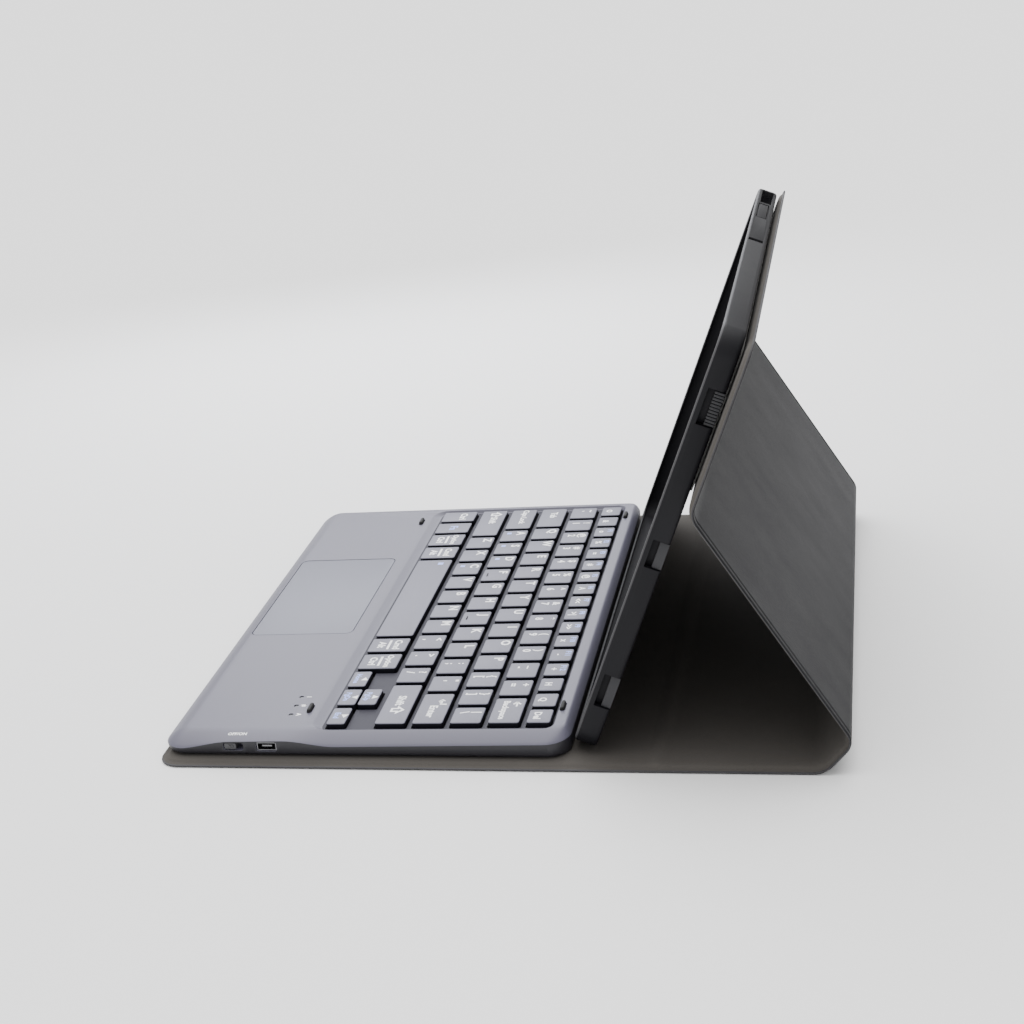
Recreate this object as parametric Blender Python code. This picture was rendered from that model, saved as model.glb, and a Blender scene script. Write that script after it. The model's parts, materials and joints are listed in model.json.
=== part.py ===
"""Tablet keyboard case: a folio cover set up as a stand, with a tablet shell and a detachable keyboard.

Metres. +X runs from the typist to the rear, +Y to the typist's left, +Z up.
The origin is the bottom centre of the case as it stands open for typing.
"""

import math

import bmesh
import bpy
from mathutils import Vector

# Cover: one folio of leather outside, stiffening board inside and a fabric lining.
COVER_MARGIN = 0.0055
LEATHER = 0.0005
BOARD = 0.0006
LINING = 0.0005
LAYER_GAP = 0.0003
COVER_CORNER = 0.009
SEAM = 0.003
HINGE_CLEARANCE = 0.0015
SPINE_SETBACK = 0.0253
REAR_PANEL = 0.0625
FOLD_RISE = 0.012
FOLD_RUN = 0.0106
UPPER_OVERHANG = 0.0006

# Tablet shell, an open tray that leans on the stand.
SHELL_WIDTH = 0.242
SHELL_HEIGHT = 0.177
SHELL_DEPTH = 0.009
SHELL_CORNER = 0.010
SHELL_WALL = 0.0022
SHELL_FLOOR = 0.0014
SHELL_LIP = 0.0008
SHELL_LIP_DEPTH = 0.0009
RECLINE = math.radians(68.2)
CREASE_HEIGHT = 0.110
FOOT_GAP = 0.00054
PAD = 0.0006
PAD_MARGIN = 0.008
CAMERA_HOLE = 0.022
CAMERA_INSET = 0.021
SPEAKER_SLOT = 0.0143
SPEAKER_OFFSET = 0.0603
PORT_SLOT = 0.0116
SIDE_SLOT_TOP = 0.0065
MIC_SLOT = 0.0038
MIC_SLOT_Y = 0.016
BUTTON_INSET = 0.051
BUTTON_LENGTH = 0.026
BUTTON_WIDTH = 0.0046
BUTTON_CLEARANCE = 0.0004
TOP_CUTOUT_INSET = 0.023
TOP_CUTOUT = 0.024

# Keyboard housing. Its length and width follow from the keys and the touchpad.
KEYBOARD_CORNER = 0.010
KEYBOARD_INSET = 0.0010
KEYBOARD_WALL = 0.0018
SKIRT_INSET = 0.0008
SKIRT_HEIGHT = 0.0013
RIM_FRONT = 0.0054
RIM_REAR = 0.0088
SHOULDER = 0.008
SHOULDER_DROP = 0.0015
REAR_SHOULDER_SHARE = 0.4
BOTTOM_CASE = 0.0012
DECK_TILT = math.radians(0.9)
KEY_TOP_HEIGHT = 0.0120
PALM_DROP = 0.0006
WELL_DROP = 0.0019
DECK_SKIN = 0.0012
REST_GAP = 0.0003
FIT = 0.0003

# Keys. One unit is the pitch of the letter keys along a row.
KEY_UNIT = 0.0157
ROW_PITCH = 0.0154
KEY_SPACE = 0.0027
KEY_DEPTH = 0.0126
KEY_HEIGHT = 0.0022
KEY_CORNER = 0.0010
KEY_EDGE = 0.0003
KEY_BAR = 0.0007
KEY_BAR_DEPTH = 0.004
KEY_TRAVEL = 0.0012
SLOT_CLEARANCE = 0.0005
LAST_KEY_EDGE = 14.465
FUNCTION_UNITS = 0.8515
FUNCTION_DEPTH = 0.0096
FUNCTION_KEYS = 17
BOTTOM_ROW_FRONT = -0.0201
BOTTOM_ROW_DEPTH = 0.0170
ARROW_DEPTH = 0.0079
ARROW_SPLIT = 0.0008
ARROW_UNITS = 1.03
BACKSPACE_UNITS = 1.465
BACKSLASH_UNITS = 0.988
ENTER_UNITS = 1.749
RIGHT_SHIFT_UNITS = 2.264
KEYS_TO_RIGHT_SIDE = 0.0101
KEYS_TO_LEFT_SIDE = 0.0135
KEYS_TO_REAR = 0.0083

# Fittings of the keyboard.
WELL_FRONT_MARGIN = 0.0044
WELL_REAR_MARGIN = 0.0013
WELL_SIDE_MARGIN = 0.0034
WELL_CORNER = 0.006
TOUCHPAD_DEPTH = 0.047
TOUCHPAD_WIDTH = 0.083
TOUCHPAD_THICKNESS = 0.0012
TOUCHPAD_CORNER = 0.003
TOUCHPAD_FRONT_MARGIN = 0.0078
TOUCHPAD_REAR_MARGIN = 0.0124
TOUCHPAD_OFFSET = 0.0123
TOUCHPAD_TRAVEL = 0.0003
PLATE_THICKNESS = 0.0006
MEMBRANE_THICKNESS = 0.0003
SWITCH_X = -0.0563
PORT_X = -0.0424
SIDE_PORT_Z = 0.0066
SWITCH_WINDOW = 0.0084
SWITCH_WINDOW_HEIGHT = 0.0034
SWITCH_KNOB = 0.0050
SWITCH_TRAVEL = 0.0024
PORT_WIDTH = 0.0080
PORT_HEIGHT = 0.0034
PORT_DEPTH = 0.0060
BOSS_FRONT = -0.064
BOSS_REAR = -0.031
BOSS_DROP = 0.0028
BUMPER_LENGTH = 0.0065
BUMPER_WIDTH = 0.0017
BUMPER_SEAT = 0.0008
BUMPER_RISE = 0.0014
BUMPER_SIDE_MARGIN = 0.024
BUMPER_BEFORE_KEYS = 0.0103
BUMPER_BEHIND_KEYS = 0.003
LED_X = -0.0374
LED_Y = 0.0092
LED_PITCH = 0.0076
LED_RADIUS = 0.0007

# Inside the keyboard and the front panel.
BATTERY_DEPTH = 0.044
BATTERY_WIDTH = 0.046
BATTERY_SETBACK = 0.0153
BATTERY_MARGIN = 0.0024
BATTERY_HEADROOM = 0.0008
MAIN_BOARD_DEPTH = 0.036
MAIN_BOARD_WIDTH = 0.040
MAIN_BOARD_SETBACK = 0.0213
MAIN_BOARD_MARGIN = 0.002
MAIN_BOARD_THICKNESS = 0.0008
MAGNET_DEPTH = 0.0055
MAGNET_LENGTH = 0.060
MAGNET_THICKNESS = 0.0010
MAGNET_FRONT_MARGIN = 0.010
MAGNET_REAR_MARGIN = 0.0093
STRIP_DEPTH = 0.008
STRIP_END_MARGIN = 0.0345
STRIP_OVERHANG = 0.001

FIELD_WIDTH = LAST_KEY_EDGE * KEY_UNIT - KEY_SPACE
FIELD_REAR = 4 * ROW_PITCH + FUNCTION_DEPTH
KEYBOARD_WIDTH = KEYS_TO_RIGHT_SIDE + FIELD_WIDTH + KEYS_TO_LEFT_SIDE
KEYBOARD_HALF = KEYBOARD_WIDTH / 2
PALM_DEPTH = TOUCHPAD_FRONT_MARGIN + TOUCHPAD_DEPTH + TOUCHPAD_REAR_MARGIN
KEYBOARD_LENGTH = PALM_DEPTH - BOTTOM_ROW_FRONT + FIELD_REAR + KEYS_TO_REAR
CASE_WIDTH = KEYBOARD_WIDTH + 2 * COVER_MARGIN
UPPER_LENGTH = SHELL_HEIGHT - CREASE_HEIGHT + UPPER_OVERHANG
FOOT_SETBACK = KEYBOARD_INSET + KEYBOARD_LENGTH + FOOT_GAP + SHELL_DEPTH * math.sin(RECLINE)
FRONT_PANEL = FOOT_SETBACK + SPINE_SETBACK
COVER = 2 * LAYER_GAP + LEATHER + BOARD + LINING
HALF_COVER = COVER / 2
FOLD_ANGLE = math.atan2(FOLD_RISE, FOLD_RUN)
FOLD_LENGTH = math.hypot(FOLD_RISE, FOLD_RUN)


def direction(angle):
    """A unit step in the XZ plane, measured from +X towards +Z."""
    return Vector((math.cos(angle), 0, math.sin(angle)))


def normal(angle):
    """The inward side of a panel that runs along direction(angle)."""
    return Vector((-math.sin(angle), 0, math.cos(angle)))


# Joint axes, worked out from the front edge backwards and then up to the crease.
FRONT_TO_FOLD = FRONT_PANEL + REAR_PANEL
SHELL_BACK_OFFSET = HALF_COVER + LAYER_GAP + PAD + LAYER_GAP
FOLD_AXIS = Vector((FRONT_TO_FOLD, 0, HALF_COVER))
STAND_AXIS = FOLD_AXIS + FOLD_LENGTH * direction(FOLD_ANGLE)
SHELL_FOOT = Vector((FOOT_SETBACK, 0, COVER + REST_GAP))
CREASE_AXIS = SHELL_FOOT + CREASE_HEIGHT * direction(RECLINE) - SHELL_BACK_OFFSET * normal(RECLINE)
STAND_ANGLE = math.atan2(CREASE_AXIS.z - STAND_AXIS.z, CREASE_AXIS.x - STAND_AXIS.x)
STAND_SPAN = (CREASE_AXIS - STAND_AXIS).length
REARMOST = STAND_AXIS.x + HINGE_CLEARANCE * math.cos(STAND_ANGLE) + HALF_COVER * math.sin(STAND_ANGLE)
TO_CENTRE = Vector((-REARMOST / 2, 0, 0))
SPINE_AXIS = Vector((FRONT_PANEL, 0, HALF_COVER))

KEYBOARD_FRONT = KEYBOARD_INSET - REARMOST / 2
KEY_ORIGIN = Vector((
    KEYBOARD_FRONT + PALM_DEPTH - BOTTOM_ROW_FRONT,
    KEYS_TO_RIGHT_SIDE - KEYBOARD_HALF,
    KEY_TOP_HEIGHT,
))
KEYBOARD_BASE = COVER + REST_GAP
INSIDE_FLOOR = KEYBOARD_BASE + BOTTOM_CASE + FIT
MAGNET_STARTS = (MAGNET_FRONT_MARGIN, KEYBOARD_LENGTH - MAGNET_REAR_MARGIN - MAGNET_DEPTH)


def clear_scene():
    for thing in list(bpy.data.objects):
        bpy.data.objects.remove(thing, do_unlink=True)


def new_collection(name, is_hidden=False):
    group = bpy.data.collections.new(name)
    bpy.context.scene.collection.children.link(group)
    group.hide_render = is_hidden
    return group


def new_material(name, colour, roughness, metallic=0.0):
    material = bpy.data.materials.new(name)
    material.use_nodes = True
    shader = material.node_tree.nodes["Principled BSDF"]
    shader.inputs["Base Color"].default_value = (*colour, 1)
    shader.inputs["Roughness"].default_value = roughness
    shader.inputs["Metallic"].default_value = metallic
    return material


def new_object(name, mesh, group, material=None, parent=None):
    thing = bpy.data.objects.new(name, mesh)
    group.objects.link(thing)
    if material:
        mesh.materials.append(material)
    if parent:
        thing.parent = parent
    return thing


def new_axis(name, place, tilt=0.0):
    """An empty on a joint axis. Its +X runs along direction(tilt) and its +Z along normal(tilt)."""
    axis = bpy.data.objects.new(name, None)
    PARTS.objects.link(axis)
    axis.location = place
    axis.rotation_euler = (0, -tilt, 0)
    axis.empty_display_size = 0.01
    return axis


def add_block(shape, low, high, corner=0.0, steps=3, top_edge=0.0):
    """Adds a box to a bmesh, with rounded upright edges and, if asked, a bevel round its top."""
    size = [b - a for a, b in zip(low, high)]
    middle = [(a + b) / 2 for a, b in zip(low, high)]
    made = bmesh.ops.create_cube(shape, size=1.0)["verts"]
    for vert in made:
        vert.co = Vector([m + s * c for m, s, c in zip(middle, size, vert.co)])
    edges = {edge for vert in made for edge in vert.link_edges}
    if corner:
        upright = [e for e in edges if abs(e.verts[0].co.z - e.verts[1].co.z) > size[2] / 2]
        made = bmesh.ops.bevel(
            shape, geom=upright, offset=corner, segments=steps, affect="EDGES", profile=0.5,
        )["verts"] + [v for v in made if v.is_valid]
        edges = {edge for vert in made for edge in vert.link_edges}
    if top_edge:
        rim = [e for e in edges if all(abs(v.co.z - high[2]) < 1e-7 for v in e.verts)]
        bmesh.ops.bevel(shape, geom=rim, offset=top_edge, segments=1, affect="EDGES")


def mesh_of(name, shape):
    bmesh.ops.recalc_face_normals(shape, faces=shape.faces)
    mesh = bpy.data.meshes.new(name)
    shape.to_mesh(mesh)
    shape.free()
    return mesh


def block(name, low, high, material=None, parent=None, corner=0.0, steps=3, top_edge=0.0, group=None):
    shape = bmesh.new()
    add_block(shape, low, high, corner, steps, top_edge)
    return new_object(name, mesh_of(name, shape), group or PARTS, material, parent)


def cutter(name, low, high, parent=None, corner=0.0, steps=3):
    tool = block(name, low, high, None, parent, corner, steps, group=CUTTERS)
    tool.hide_render = True
    tool.display_type = "WIRE"
    return tool


def combine(thing, tool, operation="DIFFERENCE"):
    step = thing.modifiers.new(tool.name, "BOOLEAN")
    step.operation = operation
    step.solver = "EXACT"
    step.object = tool


# Cover ---------------------------------------------------------------------


def cover_panel(name, axis, start, end, has_board=True):
    """Leather, board and lining of one stiff panel, in the frame of its hinge axis."""
    half = CASE_WIDTH / 2
    outside = -HALF_COVER
    inside = HALF_COVER - LINING
    pieces = [
        block(name + "_leather", (start, -half, outside), (end, half, outside + LEATHER), LEATHER_SKIN, axis),
        block(name + "_lining", (start, -half, inside), (end, half, HALF_COVER), LINING_CLOTH, axis),
    ]
    if has_board:
        low = (start + SEAM, SEAM - half, outside + LEATHER + LAYER_GAP)
        high = (end - SEAM, half - SEAM, inside - LAYER_GAP)
        pieces.append(block(name + "_board", low, high, BOARD_STOCK, axis, COVER_CORNER / 2))
    return pieces


def round_free_end(piece, end, sign):
    """Rounds a panel's two free corners with a frame-shaped tool. sign is -1 at its start and 1 at its end."""
    half = CASE_WIDTH / 2
    reach = COVER_CORNER * 2
    tool = cutter(
        piece.name + "_corner_tool", (end - reach, -half - reach, -COVER), (end + reach, half + reach, COVER),
        piece.parent,
    )
    kept = sorted((end - sign * reach * 2, end))
    inner = cutter(
        piece.name + "_corner_keep", (kept[0], -half, -COVER - reach), (kept[1], half, COVER + reach),
        piece.parent, COVER_CORNER, 6,
    )
    combine(tool, inner)
    combine(piece, tool)


def make_cover():
    base = new_axis("base_axis", TO_CENTRE)
    spine = new_axis("spine_axis", TO_CENTRE + SPINE_AXIS)
    fold = new_axis("rear_fold_axis", TO_CENTRE + FOLD_AXIS, FOLD_ANGLE)
    stand = new_axis("stand_fold_axis", TO_CENTRE + STAND_AXIS, STAND_ANGLE)
    back = new_axis("back_crease_axis", TO_CENTRE + CREASE_AXIS, RECLINE)
    middle = new_axis("base_middle", (0, 0, HALF_COVER))
    middle.parent = base

    front = cover_panel("front", middle, 0, FRONT_PANEL - HINGE_CLEARANCE)
    for piece in front[:2]:
        round_free_end(piece, 0, -1)
    cover_panel("rear", spine, HINGE_CLEARANCE, REAR_PANEL - HINGE_CLEARANCE)
    cover_panel("fold", fold, HINGE_CLEARANCE, FOLD_LENGTH - HINGE_CLEARANCE, has_board=False)
    cover_panel("stand", stand, HINGE_CLEARANCE, STAND_SPAN - HINGE_CLEARANCE)
    upper = cover_panel("upper", back, HINGE_CLEARANCE, UPPER_LENGTH)
    for piece in upper[:2]:
        round_free_end(piece, UPPER_LENGTH, 1)
    make_catch_strips(front[2], middle)
    return back, upper


def make_catch_strips(board, middle):
    """Two steel strips let into the front board, which the keyboard's magnets hold on to."""
    half = CASE_WIDTH / 2 - STRIP_END_MARGIN
    for name, magnet_start in zip(("front_catch_strip", "rear_catch_strip"), MAGNET_STARTS):
        start = KEYBOARD_INSET + magnet_start - STRIP_OVERHANG
        low = (start, -half, -BOARD / 2)
        high = (start + STRIP_DEPTH, half, BOARD / 2)
        block(name, low, high, STEEL, middle)
        window = cutter(
            name + "_window",
            (low[0] - FIT, low[1] - FIT, -COVER), (high[0] + FIT, high[1] + FIT, COVER), middle,
        )
        combine(board, window)


# Tablet shell --------------------------------------------------------------


def make_shell(back, upper):
    """The tray, in a frame at its foot: x up its back, y across and z out of its back."""
    shell_frame = new_axis("shell_frame", (-CREASE_HEIGHT, 0, SHELL_BACK_OFFSET))
    shell_frame.parent = back
    half = SHELL_WIDTH / 2
    shell = block(
        "tablet_shell", (0, -half, 0), (SHELL_HEIGHT, half, SHELL_DEPTH), SHELL_PLASTIC, shell_frame, SHELL_CORNER, 6,
    )
    wall = SHELL_WALL
    lip_start = SHELL_DEPTH - SHELL_LIP_DEPTH
    combine(shell, cutter(
        "tablet_space", (wall, wall - half, SHELL_FLOOR), (SHELL_HEIGHT - wall, half - wall, lip_start),
        shell_frame, SHELL_CORNER - wall, 6,
    ))
    mouth = wall + SHELL_LIP
    combine(shell, cutter(
        "shell_mouth", (mouth, mouth - half, SHELL_FLOOR + 2 * FIT),
        (SHELL_HEIGHT - mouth, half - mouth, SHELL_DEPTH + wall), shell_frame, SHELL_CORNER - mouth, 6,
    ))
    middle = SHELL_HEIGHT / 2
    slots = [(middle, PORT_SLOT), (middle - SPEAKER_OFFSET, SPEAKER_SLOT), (middle + SPEAKER_OFFSET, SPEAKER_SLOT)]
    for index, (centre, length) in enumerate(slots):
        combine(shell, side_slot(shell_frame, f"right_slot_{index}", -half, centre, length))
    top = (SHELL_HEIGHT - 2 * wall, SHELL_HEIGHT + wall)
    cutout_y = half - TOP_CUTOUT_INSET
    combine(shell, cutter(
        "mic_slot", (top[0], MIC_SLOT_Y - MIC_SLOT / 2, SHELL_FLOOR + FIT),
        (top[1], MIC_SLOT_Y + MIC_SLOT / 2, SHELL_DEPTH - wall / 2), shell_frame,
    ))
    combine(shell, cutter(
        "top_cutout", (top[0], cutout_y - TOP_CUTOUT / 2, SHELL_FLOOR + FIT),
        (top[1], cutout_y + TOP_CUTOUT / 2, SIDE_SLOT_TOP), shell_frame,
    ))
    make_button(shell, shell_frame)
    make_camera_holes(shell, shell_frame, upper)
    pad_low = (CREASE_HEIGHT + PAD_MARGIN / 3, PAD_MARGIN - half, -LAYER_GAP - PAD)
    pad_high = (CREASE_HEIGHT + UPPER_LENGTH - PAD_MARGIN, half - CAMERA_INSET - CAMERA_HOLE, -LAYER_GAP)
    block("adhesive_pad", pad_low, pad_high, ADHESIVE, shell_frame, 0.004)


def side_slot(frame, name, side_y, centre, length):
    reach = 2 * SHELL_WALL
    return cutter(
        name, (centre - length / 2, side_y - reach, SHELL_FLOOR + FIT),
        (centre + length / 2, side_y + reach, SIDE_SLOT_TOP), frame,
    )


def make_button(shell, frame):
    """A tongue in the tray's top wall, over the tablet's own button."""
    depth = (SHELL_DEPTH + SHELL_FLOOR) / 2 - FIT
    middle = SHELL_WIDTH / 2 - BUTTON_INSET
    low = (SHELL_HEIGHT - SHELL_WALL + FIT, middle - BUTTON_LENGTH / 2, depth - BUTTON_WIDTH / 2)
    high = (SHELL_HEIGHT, middle + BUTTON_LENGTH / 2, depth + BUTTON_WIDTH / 2)
    block("power_button", low, high, SHELL_PLASTIC, frame)
    gap = BUTTON_CLEARANCE
    combine(shell, cutter(
        "button_window", (low[0] - 2 * SHELL_WALL, low[1] - gap, low[2] - gap),
        (high[0] + SHELL_WALL, high[1] + gap, high[2] + gap), frame,
    ))


def make_camera_holes(shell, frame, upper):
    """One straight hole through the tray's floor and the cover, at the tablet's rear camera."""
    centre = (SHELL_HEIGHT - CAMERA_INSET, SHELL_WIDTH / 2 - CAMERA_INSET)
    low = (centre[0] - CAMERA_HOLE / 2, centre[1] - CAMERA_HOLE / 2, -SHELL_DEPTH)
    high = (centre[0] + CAMERA_HOLE / 2, centre[1] + CAMERA_HOLE / 2, SHELL_DEPTH / 2)
    for piece in (shell, *upper):
        combine(piece, cutter(piece.name + "_camera_hole", low, high, frame, CAMERA_HOLE / 4, 4))


# Keyboard housing ----------------------------------------------------------


def housing_ring(inset, height_at):
    """A rounded rectangle inside the housing's outline, with its height a function of x."""
    corner = max(KEYBOARD_CORNER - inset, 0.002)
    half = KEYBOARD_HALF - inset - corner
    rear = KEYBOARD_FRONT + KEYBOARD_LENGTH - inset * REAR_SHOULDER_SHARE
    ends = (KEYBOARD_FRONT + inset + corner, rear - corner)
    steps = 6
    points = []
    for quarter, (x, y) in enumerate(((ends[1], half), (ends[0], half), (ends[0], -half), (ends[1], -half))):
        for step in range(steps + 1):
            turn = math.pi / 2 * (quarter + step / steps)
            place = (x + corner * math.cos(turn), y + corner * math.sin(turn))
            points.append((*place, height_at(place[0])))
    return points


def deck_height(x, drop):
    """Height of a plane that lies a given drop below the key tops."""
    return KEY_TOP_HEIGHT - drop + (x - KEY_ORIGIN.x) * math.tan(DECK_TILT)


def rim_height(x):
    share = (x - KEYBOARD_FRONT) / KEYBOARD_LENGTH
    return RIM_FRONT + (RIM_REAR - RIM_FRONT) * share


def loft(name, rings, material):
    shape = bmesh.new()
    loops = [[shape.verts.new(point) for point in ring] for ring in rings]
    for lower, upper in zip(loops, loops[1:]):
        for index, vert in enumerate(lower):
            after = (index + 1) % len(lower)
            shape.faces.new((vert, lower[after], upper[after], upper[index]))
    shape.faces.new(loops[0][::-1])
    shape.faces.new(loops[-1])
    return new_object(name, mesh_of(name, shape), PARTS, material)


def make_top_case(deck):
    skirt = KEYBOARD_BASE + FIT
    rings = [
        housing_ring(SKIRT_INSET, lambda x: skirt),
        housing_ring(0, lambda x: skirt + SKIRT_HEIGHT),
        housing_ring(0, rim_height),
        housing_ring(SHOULDER * 0.4, lambda x: deck_height(x, PALM_DROP + SHOULDER_DROP)),
        housing_ring(SHOULDER, lambda x: deck_height(x, PALM_DROP)),
    ]
    case = loft("keyboard_top_case", rings, CASE_PLASTIC)
    make_side_boss(case)
    hollow_top_case(case, deck)
    cut_well(case, deck)
    return case


def make_side_boss(case):
    """The upright flat in the right side that holds the switch and the charging port."""
    near = -KEYBOARD_HALF
    low = (KEY_ORIGIN.x + BOSS_FRONT, near, KEYBOARD_BASE + FIT + SKIRT_HEIGHT)
    high = (KEY_ORIGIN.x + BOSS_REAR, near + SHOULDER, KEY_TOP_HEIGHT - BOSS_DROP)
    boss = cutter("side_boss", low, high)
    combine(case, boss, "UNION")


def hollow_top_case(case, deck):
    half = KEYBOARD_HALF
    front, rear = KEYBOARD_FRONT, KEYBOARD_FRONT + KEYBOARD_LENGTH
    wall = KEYBOARD_WALL
    combine(case, cutter(
        "lower_hollow", (front + wall, wall - half, 0), (rear - wall, half - wall, RIM_FRONT - wall / 2),
        corner=KEYBOARD_CORNER - wall,
    ))
    edge = SHOULDER * 0.75
    rear -= SHOULDER * REAR_SHOULDER_SHARE
    origin = KEY_ORIGIN
    combine(case, cutter(
        "upper_hollow", (front + edge - origin.x, edge - half - origin.y, -origin.z),
        (rear - origin.x, half - edge - origin.y, -WELL_DROP - DECK_SKIN), deck, KEYBOARD_CORNER / 3,
    ))


def cut_well(case, deck):
    combine(case, cutter(
        "key_well", (BOTTOM_ROW_FRONT - WELL_FRONT_MARGIN, -WELL_SIDE_MARGIN, -WELL_DROP),
        (FIELD_REAR + WELL_REAR_MARGIN, FIELD_WIDTH + WELL_SIDE_MARGIN, KEY_HEIGHT), deck, WELL_CORNER,
    ))
    gap = SLOT_CLEARANCE
    arrows_end = 3 * ARROW_UNITS * KEY_UNIT
    up_start = ARROW_UNITS * KEY_UNIT
    slots = [
        (row * ROW_PITCH, row * ROW_PITCH + KEY_DEPTH, 0, FIELD_WIDTH) for row in range(4)
    ]
    slots.append((4 * ROW_PITCH, FIELD_REAR, 0, FIELD_WIDTH))
    slots.append((BOTTOM_ROW_FRONT, BOTTOM_ROW_FRONT + BOTTOM_ROW_DEPTH, arrows_end, FIELD_WIDTH))
    slots.append((BOTTOM_ROW_FRONT, BOTTOM_ROW_FRONT + ARROW_DEPTH, 0, arrows_end))
    slots.append((
        BOTTOM_ROW_FRONT + ARROW_DEPTH / 2, BOTTOM_ROW_FRONT + 2 * ARROW_DEPTH + ARROW_SPLIT,
        up_start, 2 * up_start - KEY_SPACE,
    ))
    for index, (front, back, near, far) in enumerate(slots):
        combine(case, cutter(
            f"key_slot_{index}", (front - gap, near - gap, -KEY_TOP_HEIGHT / 2), (back + gap, far + gap, 0), deck,
        ))


def make_bottom_case():
    inset = KEYBOARD_WALL + FIT
    half = KEYBOARD_HALF - inset
    rear = KEYBOARD_FRONT + KEYBOARD_LENGTH - inset
    low = (KEYBOARD_FRONT + inset, -half, KEYBOARD_BASE)
    high = (rear, half, KEYBOARD_BASE + BOTTOM_CASE)
    return block("keyboard_bottom_case", low, high, CASE_PLASTIC, None, KEYBOARD_CORNER - inset)


def make_touchpad(case, deck):
    front = BOTTOM_ROW_FRONT - PALM_DEPTH + TOUCHPAD_FRONT_MARGIN
    side = KEYBOARD_HALF - KEYS_TO_RIGHT_SIDE + TOUCHPAD_OFFSET - TOUCHPAD_WIDTH / 2
    low = (front, side, -PALM_DROP - TOUCHPAD_THICKNESS)
    high = (front + TOUCHPAD_DEPTH, side + TOUCHPAD_WIDTH, -PALM_DROP)
    block("touchpad", low, high, PAD_PLASTIC, deck, TOUCHPAD_CORNER)
    combine(case, cutter(
        "touchpad_window", (low[0] - FIT, low[1] - FIT, low[2] * 4), (high[0] + FIT, high[1] + FIT, KEY_HEIGHT),
        deck, TOUCHPAD_CORNER + FIT,
    ))
    board_top = low[2] - TOUCHPAD_TRAVEL - FIT
    block(
        "touchpad_board", (low[0] + SEAM, low[1] + SEAM, board_top - PLATE_THICKNESS),
        (high[0] - SEAM, high[1] - SEAM, board_top), CIRCUIT, deck,
    )


def make_keyboard_inside(deck):
    """Key plate and membrane under the keys, and the battery and main board under the palm rest."""
    membrane_top = -KEY_HEIGHT - KEY_BAR - KEY_TRAVEL - FIT
    plate_top = membrane_top - MEMBRANE_THICKNESS - FIT
    low = (BOTTOM_ROW_FRONT - SEAM, -KEY_SPACE / 2)
    high = (FIELD_REAR + KEY_SPACE / 2, FIELD_WIDTH + KEY_SPACE / 2)
    block("membrane", (*low, membrane_top - MEMBRANE_THICKNESS), (*high, membrane_top), MEMBRANE_FILM, deck)
    block("key_plate", (*low, plate_top - PLATE_THICKNESS), (*high, plate_top), ALUMINIUM, deck)
    make_battery()
    make_main_board()
    for name, start in zip(("front_magnet", "rear_magnet"), MAGNET_STARTS):
        low = (KEYBOARD_FRONT + start, -MAGNET_LENGTH / 2, INSIDE_FLOOR)
        high = (low[0] + MAGNET_DEPTH, MAGNET_LENGTH / 2, INSIDE_FLOOR + MAGNET_THICKNESS)
        block(name, low, high, STEEL)


def make_battery():
    """As thick as the room under the palm rest allows at its front edge."""
    front = KEYBOARD_FRONT + BATTERY_SETBACK
    far = KEY_ORIGIN.y + FIELD_WIDTH - BATTERY_MARGIN
    top = deck_height(front, WELL_DROP + DECK_SKIN) - BATTERY_HEADROOM
    block("battery", (front, far - BATTERY_WIDTH, INSIDE_FLOOR), (front + BATTERY_DEPTH, far, top), BATTERY_FOIL)


def make_main_board():
    low = (KEYBOARD_FRONT + MAIN_BOARD_SETBACK, KEY_ORIGIN.y + MAIN_BOARD_MARGIN, INSIDE_FLOOR)
    high = (low[0] + MAIN_BOARD_DEPTH, low[1] + MAIN_BOARD_WIDTH, INSIDE_FLOOR + MAIN_BOARD_THICKNESS)
    block("main_board", low, high, CIRCUIT)


def make_bumpers(case, deck):
    """Four soft ovals that keep the tablet's glass off the keys when the case is shut."""
    middle = KEYBOARD_HALF - KEYS_TO_RIGHT_SIDE
    ends = (("front", BOTTOM_ROW_FRONT - BUMPER_BEFORE_KEYS), ("rear", FIELD_REAR + BUMPER_BEHIND_KEYS))
    for end, x in ends:
        for side, name in ((-1, "right"), (1, "left")):
            y = middle + side * (KEYBOARD_HALF - BUMPER_SIDE_MARGIN)
            low = (x - BUMPER_WIDTH / 2, y - BUMPER_LENGTH / 2, -PALM_DROP - BUMPER_SEAT)
            high = (x + BUMPER_WIDTH / 2, y + BUMPER_LENGTH / 2, BUMPER_RISE - PALM_DROP)
            block(f"bumper_{end}_{name}", low, high, RUBBER, deck, BUMPER_WIDTH * 0.45, 4, BUMPER_WIDTH / 8)
            combine(case, cutter(
                f"bumper_seat_{end}_{name}", (low[0] - FIT, low[1] - FIT, low[2] - FIT),
                (high[0] + FIT, high[1] + FIT, KEY_HEIGHT), deck, BUMPER_WIDTH * 0.45 + FIT, 4,
            ))


def make_led_window(case, deck):
    """One light guide with three short pins, each in its own hole in the palm rest."""
    under = -WELL_DROP - DECK_SKIN - FIT
    bar_low = (LED_X - 2 * LED_RADIUS, LED_Y - 2 * LED_RADIUS, under - 2 * LED_RADIUS)
    bar_high = (LED_X + 2 * LED_RADIUS, LED_Y + 2 * LED_PITCH + 2 * LED_RADIUS, under)
    guide = block("led_guide", bar_low, bar_high, LIGHT_GUIDE, deck)
    for index in range(3):
        y = LED_Y + index * LED_PITCH
        reach = LED_RADIUS
        pin_low = (LED_X - reach, y - reach, under - LED_RADIUS)
        pin_high = (LED_X + reach, y + reach, -PALM_DROP - FIT)
        pin = cutter(f"led_pin_{index}", pin_low, pin_high, deck, reach * 0.9, 3)
        combine(guide, pin, "UNION")
        wide = reach + FIT
        combine(case, cutter(
            f"led_hole_{index}", (LED_X - wide, y - wide, bar_low[2]), (LED_X + wide, y + wide, KEY_HEIGHT),
            deck, wide * 0.9, 3,
        ))


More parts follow.
